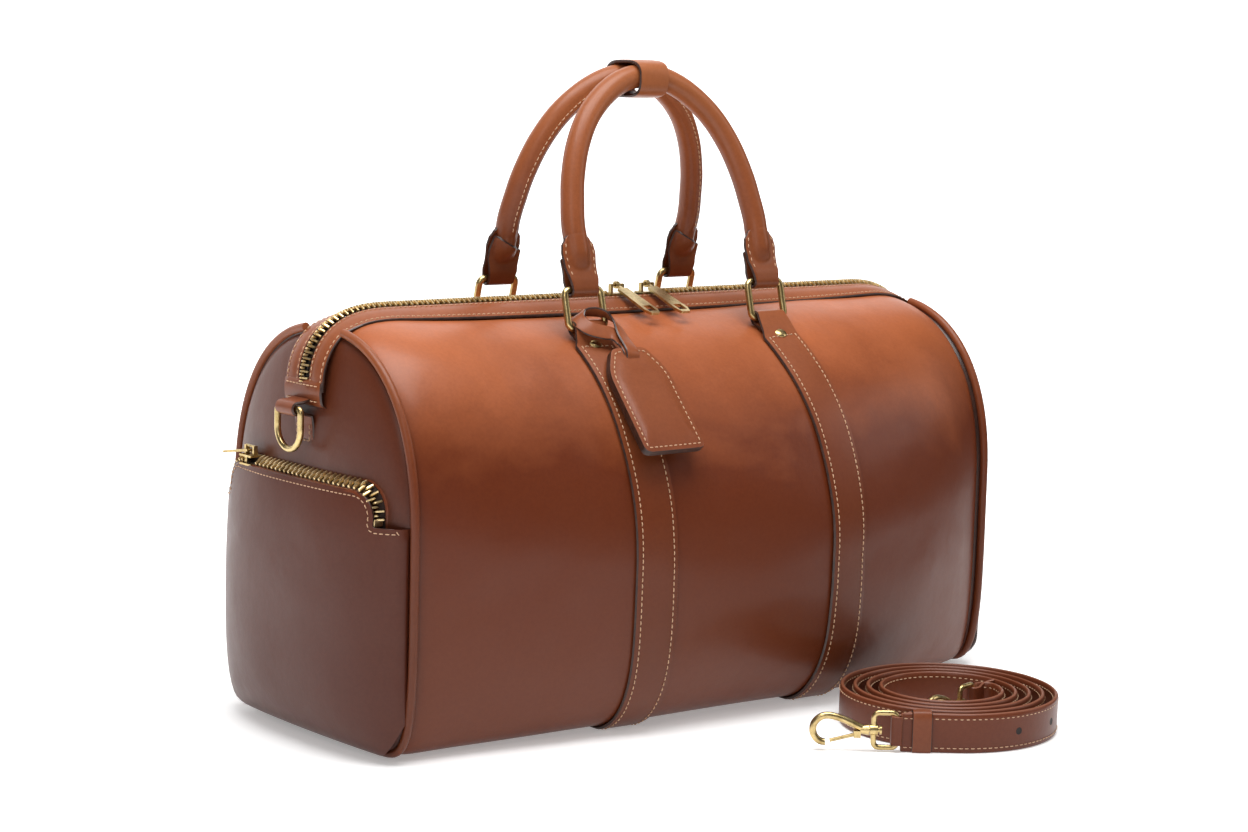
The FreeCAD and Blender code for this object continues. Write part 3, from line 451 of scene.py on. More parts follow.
def section_normal(x, angle):
    ahead = section_point(x, min(angle + 0.5, 90))
    behind = section_point(x, max(angle - 0.5, -90))
    along = (ahead - behind).normalized()
    slope_x = section_point(min(x + 1, 249.9), angle) - section_point(max(x - 1, -249.9), angle)
    normal = slope_x.cross(along)
    if normal.dot(mm(0, -along.z, along.y)) < 0:
        normal = -normal
    return normal.normalized()


def ripple(x, angle):
    """Small slack waves of the stuffed leather, quiet at the seams."""
    quiet = min(1.0, (HALF_LENGTH - abs(x)) / 45) * min(1.0, (angle + 90) / 40)
    p = section_point(x, angle)
    broad = noise.noise(Vector((p.x / 95, p.y / 70, p.z / 62)))
    fine = noise.noise(Vector((p.x / 38 + 7, p.y / 30, p.z / 27 + 3)))
    return quiet * (1.5 * broad + 0.35 * fine)


def skin_point(x, angle, out=0.0, side=1):
    """Point on the leather, side 1 for the front and -1 for the rear."""
    p = section_point(x, angle) + section_normal(x, angle) * (out + ripple(x * side, angle) - seam_roll(x))
    return mm(p.x, p.y * side, max(p.z, 0.2))


def skin_normal(x, angle, side=1):
    n = section_normal(x, angle)
    return mm(n.x, n.y * side, n.z)


def last_angle(passes, low, high):
    """Bisection for the greatest angle that still passes a test."""
    for _ in range(24):
        middle = (low + high) / 2
        if passes(middle):
            low = middle
        else:
            high = middle
    return low


def angle_at_height(x, z):
    return last_angle(lambda a: section_point(x, a).z < z, 0.0, 89.5)


def angle_at_width(x, y):
    return last_angle(lambda a: -section_point(x, a).y > y, 30.0, 89.8)


def end_name(x):
    return "left" if x < 0 else "right"


def side_name(side):
    return "front" if side > 0 else "rear"


def body_skin(side):
    xs = [-249.0, -248.2, -247.2, -246, -244, -241, -237, -232, -226, -219]
    xs += [-211 + i * 422 / 90 for i in range(91)]
    xs += [-x for x in reversed(xs[:10])]
    outer, inner = [], []
    for x in xs:
        top = angle_at_width(x, 17.5)
        angles = [-89.5 + (top + 89.5) * i / 84 for i in range(85)]
        outer.append([skin_point(x, a, 0, side) for a in angles])
        inner.append([skin_point(x, a, -SKIN, side) for a in angles])
    piece = slab(side_name(side) + "_skin", outer, inner, "bag", [BODY], flip=side > 0)
    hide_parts(side_name(side) + "_panel", side_name(side) + "_lining")


def base_skin():
    """Base leather with softly turned edges, over its stiff board."""
    rows_out, rows_in = [], []
    for i in range(61):
        x = -248 + 496 * i / 60
        wide = base_half(x) - 0.6
        ys = [wide * math.sin(math.radians(-90 + 180 * j / 24)) for j in range(25)]
        rows_out.append([mm(x, y, 0.5 * (abs(y) / wide) ** 6) for y in ys])
        rows_in.append([mm(x, y, 2.4) for y in ys])
    piece = slab("base_skin", rows_out, rows_in, "bag", [BODY, EDGE])
    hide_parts("base_panel", "base_board")


# ---- end panels and piping -----------------------------------------------------------------------

def end_outline(shrink_y=0.0, shrink_z=0.0, steps=40):
    """Closed outline of an end in the YZ plane, from the base seam up the front, over and down the rear."""
    half = [section_point(HALF_LENGTH, -90 + 180 * i / steps) for i in range(steps + 1)]
    wide, high = half_width(HALF_LENGTH), crest(HALF_LENGTH)
    half = [mm(0, p.y * (wide - shrink_y) / wide, shrink_z + p.z * (high - 2 * shrink_z) / high)
            for p in half]
    foot = [mm(0, half[0].y * k, half[0].z) for k in (-0.75, -0.5, -0.25, 0.0, 0.25, 0.5, 0.75)]
    rear = [mm(0, -p.y, p.z) for p in reversed(half[:-1])]
    return foot + half + rear


def dome_point(p, share, sign, push, power):
    """A point drawn from the outline towards the panel's middle and pushed out."""
    centre = mm(0, 0, END_MIDDLE)
    q = centre + (p - centre) * share
    inset = (1 - share) * (p - centre).length
    out = HALF_LENGTH - 1.2 + push * (1 - share ** power) + 5.2 * (1 - math.exp(-inset / 2.6))
    return mm(sign * out, q.y, q.z)


def end_skin(sign):
    outline = end_outline(0.5, 0.6)
    shares = [1.0, 0.995, 0.988, 0.98, 0.965, 0.945, 0.92, 0.89, 0.85, 0.8, 0.73, 0.65, 0.55, 0.44,
              0.32, 0.2, 0.1]
    cols = len(outline)
    verts = [dome_point(p, s, sign, END_PUSH, END_POWER) for s in shares for p in outline]
    verts.append(dome_point(outline[0], 0.0, sign, END_PUSH, END_POWER))
    faces = polar_faces(len(shares), cols, sign < 0)
    name = end_name(sign)
    piece = make_object(name + "_end_skin", verts, faces, "bag", [END])
    thicken(piece, 2.0)
    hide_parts(name + "_end_panel")


def polar_faces(rings, cols, flip):
    faces = []
    for i in range(rings - 1):
        for j in range(cols):
            k = (j + 1) % cols
            faces.append((i * cols + j, (i + 1) * cols + j, (i + 1) * cols + k, i * cols + k))
    centre = rings * cols
    for j in range(cols):
        faces.append(((rings - 1) * cols + j, centre, (rings - 1) * cols + (j + 1) % cols))
    return [tuple(reversed(f)) for f in faces] if flip else faces


def thicken(piece, thickness, rim=None):
    """Gives an open skin its leather thickness, inwards."""
    solid = piece.modifiers.new("thickness", "SOLIDIFY")
    solid.thickness = thickness * MM
    solid.offset = -1
    if rim is not None:
        solid.material_offset_rim = rim
    return solid


def piping(sign):
    """Leather-covered cord round the end seam, stopping under the zip gusset."""
    wide, high = half_width(HALF_LENGTH), crest(HALF_LENGTH)
    half = [section_point(HALF_LENGTH, -90 + 168 * i / 60) for i in range(61)]
    half = [mm(0, p.y * (wide + 1.9) / wide, 3.0 + p.z * (high + 1.4 - 3.0) / high) for p in half]
    foot = [mm(0, half[0].y * k / 4, 3.0) for k in (-3, -2, -1, 0, 1, 2, 3)]
    path = [mm(0, -p.y, p.z) for p in reversed(half)] + foot + half
    tangents = line_frames(path)
    rings = []
    for p, t in zip(path, tangents):
        out = mm(0, t.z, -t.y)
        centre = mm(sign * (HALF_LENGTH + 1.6), p.y, p.z)
        ring = []
        for k in range(16):
            a = 2 * math.pi * k / 16
            ring.append(centre + mm(math.cos(a), 0, 0) * CORD_R + out * (math.sin(a) * CORD_R))
        rings.append(ring)
    name = end_name(sign)
    piece = sweep(name + "_piping_cord", rings, "bag", [TRIM])
    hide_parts(name + "_piping")
    # the raw seam allowance that grips the cord on both sides
    rings = []
    for p, t in zip(path, tangents):
        out = mm(0, -t.z, t.y)
        base = mm(sign * (HALF_LENGTH - 2.6), p.y, p.z) - out * 8.0
        wide_in = mm(sign * 4.2, 0, 0)
        rings.append([base, base + wide_in, base + wide_in + out * 6.8, base + out * 4.6])
    sweep(name + "_seam_allowance", rings, "bag", [EDGE])


# ---- zip -----------------------------------------------------------------------------------------

def zip_line(steps=26):
    """Centre line of the main zip with outward normals, from the left end to the right end."""
    rise, run = ZIP_LEVEL - ZIP_END_Z, ZIP_END_X - ZIP_TURN_X
    right = []
    for i in range(steps + 1):
        a = math.radians(90 * i / steps)
        c, s = math.cos(a), math.sin(a)
        reach = (c ** ZIP_POWER + s ** ZIP_POWER) ** (-1 / ZIP_POWER)
        x, z = run * reach * s, rise * reach * c
        n = mm((x / run) ** (ZIP_POWER - 1) / run, 0, (z / rise) ** (ZIP_POWER - 1) / rise).normalized()
        right.append((mm(ZIP_TURN_X + x, 0, ZIP_END_Z + z), n))
    level = [(mm(x, 0, ZIP_LEVEL), mm(0, 0, 1)) for x in range(-200, 201, 10)]
    left = [(mm(-p.x, 0, p.z), mm(-n.x, 0, n.z)) for p, n in reversed(right)]
    return left + level + right


def gusset_profile():
    """Section of one gusset strip: distance from the zip and height over the strip's plane."""
    top = [(5.4, -0.9), (5.6, -0.2), (6.2, 0.15), (7.2, 0.25), (8.4, 0.0), (10.5, 0.35), (14.0, 0.5),
           (17.4, 0.15), (18.6, -0.05), (19.8, 0.1), (20.8, -0.1), (21.3, -0.7)]
    under = [(21.2, -1.6), (20.6, -2.0), (13.0, -2.0), (6.0, -2.0), (5.5, -1.7)]
    return top + under


def strip_drop(p, n, y):
    """How far a gusset strip hangs below the zip at a distance from it."""
    return gusset_drop(p.x) * max(0.0, n.z) * max(0.0, (y - STRIP_NEAR) / STRIP_REACH) ** 1.15


def gusset(side):
    rings, lines = [], {7.6: ([], []), 19.0: ([], [])}
    for p, n in zip_line():
        rings.append([mm(p.x, -y * side, p.z) + n * (h - strip_drop(p, n, y)) for y, h in gusset_profile()])
        for y in lines:
            lines[y][0].append(mm(p.x, -y * side, p.z) + n * (0.1 - strip_drop(p, n, y)))
            lines[y][1].append(n)
    edge_slots = [1, 1] + [0] * 8 + [1] * 6 + [1]
    piece = sweep("gusset_strip_" + side_name(side), rings, "bag", [TRIM, EDGE], 40, edge_slots)
    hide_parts("gusset_" + side_name(side))
    thread("gusset_stitches_" + side_name(side), list(lines.values()), "bag")


def tape_strip(name, near, far, drop, replaced):
    profile = ((near, 0), (far, 0), (far, 0.8), (near, 0.8))
    for side in (1, -1):
        rings = [[mm(p.x, -y * side, p.z) + n * (-drop - t) for y, t in profile] for p, n in zip_line()]
        piece = sweep("%s_%s" % (name, side_name(side)), rings, "bag", [TAPE])
        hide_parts(replaced)


def tooth_points(side):
    """One tooth: clamp on the tape edge and a rounded head over the middle of the chain."""
    rings = []
    for reach, half_wide, half_high in ((-4.9, 0.45, 0.9), (-4.5, 0.76, 1.45), (-1.4, 0.80, 1.6),
                                        (-0.2, 0.74, 1.55), (0.8, 0.60, 1.3), (1.45, 0.3, 0.8)):
        ring = []
        for a, b in ((-1, -0.6), (-0.6, -1), (0.6, -1), (1, -0.6), (1, 0.6), (0.6, 1), (-0.6, 1), (-1, 0.6)):
            ring.append((a * half_wide, reach * side, b * half_high))
        rings.append(ring)
    return rings


def teeth(name, places, body, replaced):
    """places: (centre, along, across, up, side) for each tooth."""
    verts, faces = [], []
    shapes = {1: tooth_points(1), -1: tooth_points(-1)}
    for centre, along, across, up, side in places:
        base = len(verts)
        rings = shapes[side]
        for ring in rings:
            for a, b, c in ring:
                verts.append(centre + along * a + across * b + up * c)
        for i in range(len(rings) - 1):
            for k in range(8):
                m = (k + 1) % 8
                quad = (base + i * 8 + k, base + i * 8 + m, base + (i + 1) * 8 + m, base + (i + 1) * 8 + k)
                faces.append(quad if side > 0 else tuple(reversed(quad)))
        first = tuple(base + k for k in reversed(range(8)))
        last = tuple(base + (len(rings) - 1) * 8 + k for k in range(8))
        faces += [first, last] if side > 0 else [tuple(reversed(first)), tuple(reversed(last))]
    piece = make_object(name, verts, faces, body, [TEETH], 35)
    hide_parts(replaced)


def main_teeth():
    line = zip_line()
    points = [p + n * 1.5 for p, n in line]
    normals = [n for p, n in line]
    slope = math.radians(28)
    places = []
    for i, (p, t, n) in enumerate(resample(points, 2.1, normals)):
        if abs(abs(p.x) - 13.5) < 7.6 or abs(p.x) < 6.5 or p.z < ZIP_END_Z + 5:
            continue
        half = 1 if i % 2 else -1
        across = mm(0, 1, 0) * math.cos(slope) + n * (math.sin(slope) * half)
        places.append((p, t, across, across.cross(t).normalized() * -1, half))
    teeth("main_zip_teeth", places, "bag", "zip_teeth")


def gusset_end(sign):
    """Folded leather end of the gusset, with the top and bottom rows of its box of stitches."""
    outer, inner = [], []
    for i in range(9):
        y = -20.4 + 40.8 * i / 8
        soft = 0.8 * (1 - (y / 20.4) ** 2)
        column = [(ZIP_END_X - 0.6, 233.0), (ZIP_END_X + 0.9 + soft, 231.5), (ZIP_END_X + 1.4 + soft, 226),
                  (ZIP_END_X + 1.0 + soft, 220), (ZIP_END_X - 0.4, 217.0), (ZIP_END_X - 3, 215.8)]
        outer.append([mm(sign * x, y, z) for x, z in column])
        inner.append([mm(sign * (x - 2.2), y, z - 0.2) for x, z in column])
    name = end_name(sign)
    piece = slab(name + "_gusset_end", outer, inner, "bag", [TRIM, EDGE], flip=sign > 0)
    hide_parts("gusset_ends")
    rows = []
    for z in (229.6, 219.8):
        points = [mm(sign * (ZIP_END_X + 1.5 + 0.8 * (1 - (y / 20.4) ** 2)), y, z) for y in range(-18, 19, 3)]
        rows.append((points, [mm(sign, 0, 0)] * len(points)))
    thread(name + "_gusset_end_stitches", rows, "bag")


# ---- bands and ring folds ------------------------------------------------------------------------

def ring_top():
    return mm(0, -RING_Y + RING_HEIGHT * math.sin(RING_LEAN), RING_Z + RING_HEIGHT * math.cos(RING_LEAN))


def band(side, x0):
    """Band from the foot of the body up to its fold round the lower bar of a ring; its run under the base is
    not modelled.
    """
    top = angle_at_height(x0, RING_Z - 13)
    angles = [-86 + (top + 86) * i / 60 for i in range(61)]
    cols = [-15, -14.2, -12, -9, -5, 0, 5, 9, 12, 14.2, 15]
    outer, inner = [], []
    for a in angles:
        outer.append([skin_point(x0 + c, a, 2.7 + 0.35 * (1 - (c / 15) ** 4), side) for c in cols])
        inner.append([skin_point(x0 + c, a, 0.4, side) for c in cols])
    bar = mm(x0, -RING_Y, RING_Z)
    wrap = RING_BAR + 0.5
    start = section_point(x0, top) + section_normal(x0, top) * 2.9
    toward = (bar - start).normalized()
    lift = mm(0, -toward.z, toward.y)
    if lift.z < 0:
        lift = -lift
    fold = []
    for share in (0.25, 0.5, 0.75):
        fold.append((start.lerp(bar + lift * (wrap + 2.2), share), lift, 15 - 2.6 * share))
    base_angle = math.atan2(lift.z, lift.y)
    for i in range(13):
        a = base_angle - math.radians(215) * i / 12
        n = mm(0, math.cos(a), math.sin(a))
        fold.append((bar + n * (wrap + 2.2), n, 12.2))
    back = section_point(x0, top) + section_normal(x0, top) * 1.2
    fold.append((back.lerp(bar, 0.45) - lift * 2.0, -lift, 12.2))
    for p, n, wide in fold:
        q = mm(0, p.y * side, p.z)
        m = mm(0, n.y * side, n.z)
        outer.append([mm(x0 + c * wide / 15, q.y, q.z) + m * 0.25 * (1 - (c / 15) ** 4) for c in cols])
        inner.append([mm(x0 + c * wide / 15, q.y, q.z) - m * 2.1 for c in cols])
    name = "%s_%s_band_skin" % (side_name(side), end_name(x0))
    piece = slab(name, outer, inner, "bag", [TRIM, EDGE], flip=side < 0)
    label = end_name(x0)
    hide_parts(label + "_band", label + "_ring_loops")
    rows = []
    for c in (-11.8, 11.8):
        points = [skin_point(x0 + c, a, 3.15, side) for a in angles]
        normals = [skin_normal(x0 + c, a, side) for a in angles]
        rows.append((points, normals))
    cross = [skin_point(x0 + c, top - 0.5, 3.2, side) for c in range(-10, 11, 2)]
    rows.append((cross, [skin_normal(x0, top, side)] * len(cross)))
    thread(name + "_stitches", rows, "bag")


def rivet(side, x0):
    """Domed rivet head over the top of a band."""
    angle = angle_at_height(x0, 249.5)
    foot = skin_point(x0, angle, 3.0, side)
    n = skin_normal(x0, angle, side)
    a1 = n.orthogonal().normalized()
    a2 = n.cross(a1)
    rings = []
    for radius, rise in ((4.9, -0.6), (5.2, 0.2), (5.0, 0.7), (4.2, 1.3), (2.8, 1.8), (1.3, 2.05),
                         (0.3, 2.1)):
        rings.append([foot + n * rise + (a1 * math.cos(t) + a2 * math.sin(t)) * radius
                      for t in [2 * math.pi * k / 28 for k in range(28)]])
    label = end_name(x0)
    piece = sweep("%s_%s_rivet" % (side_name(side), label), rings, "bag", [BRASS], 60)
    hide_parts(label + "_rivets")


# ---- handles -------------------------------------------------------------------------------------

HANDLE_R = 8.0
HANDLE_TOP = (8.9, 426.3)
CHAPE_OUTLINE = [(0, 10.4), (8, 11.6), (16, 12.8), (24, 13.6), (29, 12.8), (33, 10.2), (37, 6.8)]


def soft_step(value, low, high):
    t = min(1.0, max(0.0, (value - low) / (high - low)))
    return t * t * (3 - 2 * t)


def ridge_share(height):
    """How far the roll of the grip still shows at a height above the ring bar."""
    return soft_step(height, 2.0, 25.0)


def handle_spot(x, share):
    """Point in the front handle's plane: share 0 at the ring bar, 1 at the top."""
    foot = ring_top()
    top = mm(0, -HANDLE_TOP[0], HANDLE_TOP[1])
    return mm(x, 0, 0) + foot + (top - foot) * share


def handle_axes():
    """Directions up the front handle's plane and out of it."""
    up = (handle_spot(0, 1) - handle_spot(0, 0)).normalized()
    return up, mm(0, -up.z, up.y)


def handle_line():
    half = [(BAND_X, 0.10), (80.2, 0.20), (BAND_X, 0.30), (78.5, 0.40), (75, 0.52), (67, 0.67), (54, 0.81),
            (36, 0.92), (17, 0.985)]
    spots = half + [(0, 1.0)] + [(-x, s) for x, s in reversed(half)]
    return smooth_line([mm(x, 0, s) for x, s in spots], 7)


def to_side(p, side):
    return mm(p.x, p.y * side, p.z)


def handle_grip(side):
    """Rolled grip: leather round a rope core, closed by a stitched seam that faces the other handle."""
    flat = handle_line()
    reach = (handle_spot(0, 1) - handle_spot(0, 0)).length
    centres = [handle_spot(p.x, p.z) for p in flat]
    tangents = line_frames(centres)
    front = handle_axes()[1]
    middle = handle_spot(0, 0.45)
    rings, seam, seam_normals = [], [], []
    for p, t, spot in zip(centres, tangents, flat):
        height = spot.z * reach
        share = ridge_share(height)
        inward = front.cross(t).normalized()
        if inward.dot(middle - p) < 0:
            inward = -inward
        ring = []
        for k in range(44):
            a = 360 * k / 44
            lip = 1.5 * math.exp(-((a - 84) / 13) ** 2) - 0.9 * math.exp(-((a - 62) / 6) ** 2)
            under_chape = 0.25 * (1 - soft_step(height, 30, 36))
            radius = (HANDLE_R + lip * soft_step(height, 28, 40)) * share - under_chape
            a = math.radians(a)
            ring.append(p + inward * (math.cos(a) * radius) - front * (math.sin(a) * radius))
        rings.append([to_side(q, side) for q in ring])
        a = math.radians(98)
        out = inward * math.cos(a) - front * math.sin(a)
        if height > 34:
            seam.append(to_side(p + out * (HANDLE_R + 0.75), side))
            seam_normals.append(to_side(out, side))
    name = side_name(side)
    if side < 0:
        rings = [list(reversed(r)) for r in rings]
    piece = sweep(name + "_grip", rings, name + "_handle", [HANDLE, EDGE], 60)
    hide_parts(name + "_handle", name + "_handle_core")
    thread(name + "_grip_seam", [(seam, seam_normals)], name + "_handle")


def chape_half(height):
    for (h0, w0), (h1, w1) in zip(CHAPE_OUTLINE, CHAPE_OUTLINE[1:]):
        if height <= h1:
            return w0 + (w1 - w0) * soft_step(height, h0, h1)
    return CHAPE_OUTLINE[-1][1]


def chape_face(across, height, extra):
    """Height of a chape's outer face over its middle plane."""
    plate = 5.1 - 2.4 * soft_step(height, 4, 16)
    radius = HANDLE_R + extra
    inside = max(0.0, radius * radius - across * across)
    ridge = math.sqrt(inside) * ridge_share(height)
    blend = 1.2
    mix = min(1.0, max(0.0, 0.5 + 0.5 * (ridge - plate) / blend))
    return plate * (1 - mix) + ridge * mix + blend * mix * (1 - mix)


def chape(side, x0):
    """Shaped end of a handle: wings either side of the fading roll, folded round the ring's upper bar."""
    bar = handle_spot(x0, 0)
    up, front = handle_axes()
    wrap = RING_BAR + 0.5
    cols = [-1, -0.985, -0.94, -0.86, -0.76, -0.66, -0.56, -0.45, -0.3, -0.15, 0]
    cols += [-c for c in reversed(cols[:-1])]
    outer, inner = [], []

    def add(spot_of, face_of, under_of):
        outer.append([to_side(spot_of(c) + face_of(c), side) for c in cols])
        inner.append([to_side(spot_of(c) + under_of(c), side) for c in cols])

    for i in range(31):
        h = 38.5 * (1 - i / 30)
        w = chape_half(h)
        dip = 0.9 * soft_step(h, 35.5, 38.5) - 0.1
        face = [chape_face(c * w, h, 0) - dip - 0.5 * (abs(c) > 0.97) for c in cols]
        add(lambda c: bar + mm(c * w, 0, 0) + up * h,
            lambda c: front * face[cols.index(c)],
            lambda c: front * max(0.1, face[cols.index(c)] - 2.3))
    for i in range(1, 14):
        a = math.radians(180 * i / 14)
        n = front * math.cos(a) - up * math.sin(a)
        add(lambda c: bar + mm(c * 10.4, 0, 0), lambda c: n * (wrap + 2.2), lambda c: n * wrap)
    for i in range(19):
        share = i / 18
        def height(c):
            return share * (25.5 + 5.5 * c * side)
        def half(c):
            return chape_half(height(c)) * (1 - 0.12 * soft_step(height(c), 18, 28))
        add(lambda c: bar + mm(c * half(c), 0, 0) + up * height(c),
            lambda c: front * -(chape_face(c * half(c), height(c), 1.6 * soft_step(height(c), 4, 20))),
            lambda c: front * -max(0.1, chape_face(c * half(c), height(c), 0) - 2.0))
    label = end_name(x0)
    name = "%s_%s_chape" % (side_name(side), label)
    body = side_name(side) + "_handle"
    slab(name, outer, inner, body, [HANDLE, EDGE], flip=side > 0)
    rows = []
    for sign in (-1, 1):
        points, normals = [], []
        for i in range(18):
            h = 8 + 23 * i / 17
            w = chape_half(h) - 2.1
            spot = bar + mm(sign * w, 0, 0) + up * h
            points.append(to_side(spot + front * (chape_face(w, h, 0) + 0.1), side))
            normals.append(to_side((front + mm(sign * 0.2, 0, 0)).normalized(), side))
        rows.append((points, normals))
    thread(name + "_stitches", rows, body)


def keeper():
    """Leather keeper wrapped round both grips at the top of the handles."""
    wide = HANDLE_TOP[0] + HANDLE_R + 0.7
    top = HANDLE_TOP[1] + HANDLE_R + 0.6
    bottom = HANDLE_TOP[1] - HANDLE_R - 4.2
    centre = (top + bottom) / 2
    high = (top - bottom) / 2
    outline = []
    for k in range(72):
        a = 2 * math.pi * k / 72
        power = 2 / 3.4
        c, s = math.cos(a), math.sin(a)
        outline.append((math.copysign(abs(c) ** power, c) * wide,
                        centre + math.copysign(abs(s) ** power, s) * high))
    cols = [-12, -11.4, -9, -5, 0, 5, 9, 11.4, 12]
    outer, inner = [], []
    for k in range(73):
        y, z = outline[k % 72]
        y1, z1 = outline[(k + 1) % 72]
        y0, z0 = outline[(k - 1) % 72]
        t = mm(0, y1 - y0, z1 - z0).normalized()
        n = mm(0, t.z, -t.y)
        lap = 0.5 * k / 72
        outer.append([mm(c, y, z) + n * (2.1 + lap + 0.3 * (1 - (c / 12) ** 4)) for c in cols])
        inner.append([mm(c, y, z) + n * lap for c in cols])
    piece = slab("keeper_strap", outer, inner, "rear_handle", [HANDLE, EDGE])
    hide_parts("handle_keeper")


# ---- end rings and tabs --------------------------------------------------------------------------

def end_tab(sign):
    """Leather fold that carries a D-ring, sewn under the end of the gusset."""
    bar_x, bar_z = 277.5, 215.0
    wrap = 2.1 + 0.4
    path = [(262.5, 190.5), (264.5, 191.5), (266.0, 196), (266.4, 203), (267.2, 209)]
    for i in range(13):
        a = math.radians(-125 + 215 * i / 12)
        path.append((bar_x + (wrap + 2.1) * math.cos(a), bar_z + (wrap + 2.1) * math.sin(a)))
    path += [(273, 219.9), (269.5, 220.6), (266.5, 221.5)]
    points = [mm(x, 0, z) for x, z in path]
    tangents = line_frames(points)
    outer, inner = [], []
    cols = [-9.6, -9.0, -6, -3, 0, 3, 6, 9.0, 9.6]
    for p, t in zip(points, tangents):
        n = mm(t.z, 0, -t.x)
        outer.append([mm(sign * p.x, y, p.z) + mm(sign * n.x, 0, n.z) * 0.2 * (1 - (y / 9.6) ** 4)
                      for y in cols])
        inner.append([mm(sign * p.x, y, p.z) - mm(sign * n.x, 0, n.z) * 2.0 for y in cols])
    name = end_name(sign)
    piece = slab(name + "_ring_tab", outer, inner, "bag", [TRIM, EDGE], flip=sign < 0)
    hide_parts(name + "_end_tab")
    column = [mm(sign * 267.0, 0, z) for z in (193, 197, 201, 205)]
    rows = []
    for y in (-7.4, 7.4):
        rows.append(([mm(p.x, y, p.z) for p in column], [mm(sign, 0, 0)] * 4))
    line = [mm(sign * 266.0, y, 193.5) for y in (-6, -3, 0, 3, 6)]
    rows.append((line, [mm(sign, 0, -0.2).normalized()] * 5))
    thread(name + "_ring_tab_stitches", rows, "bag")


# ---- zipped pocket -------------------------------------------------------------------------------

POCKET_HALF = 100.0
POCKET_TOP = 171.0
POCKET_STEP = 150.0
POCKET_ARCH = 84.0
POCKET_BEND = 17.0
POCKET_BULGE = 33.0
POCKET_ZIP_X = 271.0
STOP_OUTLINE = ((-3.6, -1.2), (-3.0, -1.8), (3.0, -1.8), (3.6, -1.2),
                (3.6, 1.2), (3.0, 1.8), (-3.0, 1.8), (-3.6, 1.2))


def pocket_edge():
    """Closed outline (y, z) of the pocket's face, from its foot up the front and back down the rear."""
    half = []
    foot = 27.0
    for k in range(6):
        half.append((-(POCKET_HALF - foot) * (k / 6 + 1 / 12), 2.8))
    for k in range(11):
        a = math.radians(-90 - 90 * k / 10)
        half.append((-(POCKET_HALF - foot) + foot * math.cos(a), 2.8 + foot + foot * math.sin(a)))
    for k in range(1, 17):
        half.append((-POCKET_HALF, 2.8 + foot + (POCKET_STEP - 2.8 - foot) * k / 16))
    for k in range(1, 8):
        half.append((-POCKET_HALF + (POCKET_HALF - POCKET_ARCH - 1.5) * k / 7, POCKET_STEP))
    half.append((-POCKET_ARCH - 0.4, POCKET_STEP + 0.4))
    half.append((-POCKET_ARCH, POCKET_STEP + 1.5))
    for k in range(13):
        a = math.radians(180 - 90 * k / 12)
        half.append((-POCKET_ARCH + POCKET_BEND + POCKET_BEND * math.cos(a),
                     POCKET_TOP - POCKET_BEND + POCKET_BEND * math.sin(a)))
    level = POCKET_ARCH - POCKET_BEND
    for k in range(1, 13):
        half.append((-level * (1 - k / 12), POCKET_TOP))
    return half + [(-y, z) for y, z in reversed(half[:-1])]


def pocket_depth(y, z):
    """How far the pocket's face stands out from the end seam."""
    side_share = max(0.0, 1 - min(1.0, abs(y) / POCKET_HALF) ** 2.3) ** (1 / 2.3)
    low = min(1.0, max(0.0, (62 - z) / 60))
    foot_share = (1 - low ** 2.2) ** (1 / 2.2)
    top_share = 1 - 0.22 * max(0.0, (z - 95) / 76) ** 2
    slack = 0.9 * noise.noise(Vector((y / 60, z / 45, 4.2)))
    return 2.2 + (POCKET_BULGE + slack) * side_share * foot_share * top_share


def pocket_point(spot, share, lift=0.0):
    y, z = spot[0] * share, 88.0 + (spot[1] - 88.0) * share
    return mm(-(HALF_LENGTH + pocket_depth(y, z) + lift), y, z)


def pocket_face():
    edge = pocket_edge()
    shares = [1.0, 0.998, 0.993, 0.985, 0.972, 0.955, 0.93, 0.9, 0.86, 0.81, 0.75, 0.68, 0.6, 0.5,
              0.4, 0.3, 0.2, 0.1]
    verts = [pocket_point(spot, s) for s in shares for spot in edge]
    verts.append(pocket_point(edge[0], 0.0))
    faces = polar_faces(len(shares), len(edge), True)
    piece = make_object("pocket_face", verts, faces, "bag", [END, EDGE])
    thicken(piece, 2.2, rim=1)
    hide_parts("pocket_panel")
    inset = 3.2
    points, normals = [], []
    for i, (y, z) in enumerate(edge):
        if z < POCKET_STEP - 0.1:
            continue
        y0, z0 = edge[i - 1]
        y1, z1 = edge[(i + 1) % len(edge)]
        along = Vector((y1 - y0, z1 - z0)).normalized()
        inward = Vector((along.y, -along.x))
        if inward.dot(Vector((-y, 88.0 - z))) < 0:
            inward = -inward
        y, z = y + inward.x * inset, z + inward.y * inset
        points.append(mm(-(HALF_LENGTH + pocket_depth(y, z) + 0.15), y, z))
        normals.append(mm(-1, 0.25 * y / POCKET_HALF, 0.15).normalized())
    thread("pocket_stitches", [(points, normals)], "bag", radius=0.36)


def pocket_arch_line():
    """Arched line of the pocket zip as (y, z, outward normal), front foot to rear foot."""
    arch, top, bend = POCKET_ARCH - 3, POCKET_TOP + 2.6, POCKET_BEND - 1
    half = [(-arch, POCKET_STEP - 2, mm(0, -1, 0)), (-arch, POCKET_STEP + 2, mm(0, -1, 0))]
    for k in range(13):
        a = math.radians(180 - 90 * k / 12)
        half.append((-arch + bend + bend * math.cos(a), top - bend + bend * math.sin(a),
                     mm(0, math.cos(a), math.sin(a))))
    for k in range(1, 7):
        half.append((-(arch - bend) * (1 - k / 6), top, mm(0, 0, 1)))
    rear = [(-y, z, mm(0, -n.y, n.z)) for y, z, n in reversed(half[:-1])]
    return half + rear


def pocket_zip_depth(y):
    """The zip leans in towards its two feet with the face."""
    return POCKET_ZIP_X - 6.5 * (abs(y) / POCKET_ARCH) ** 3


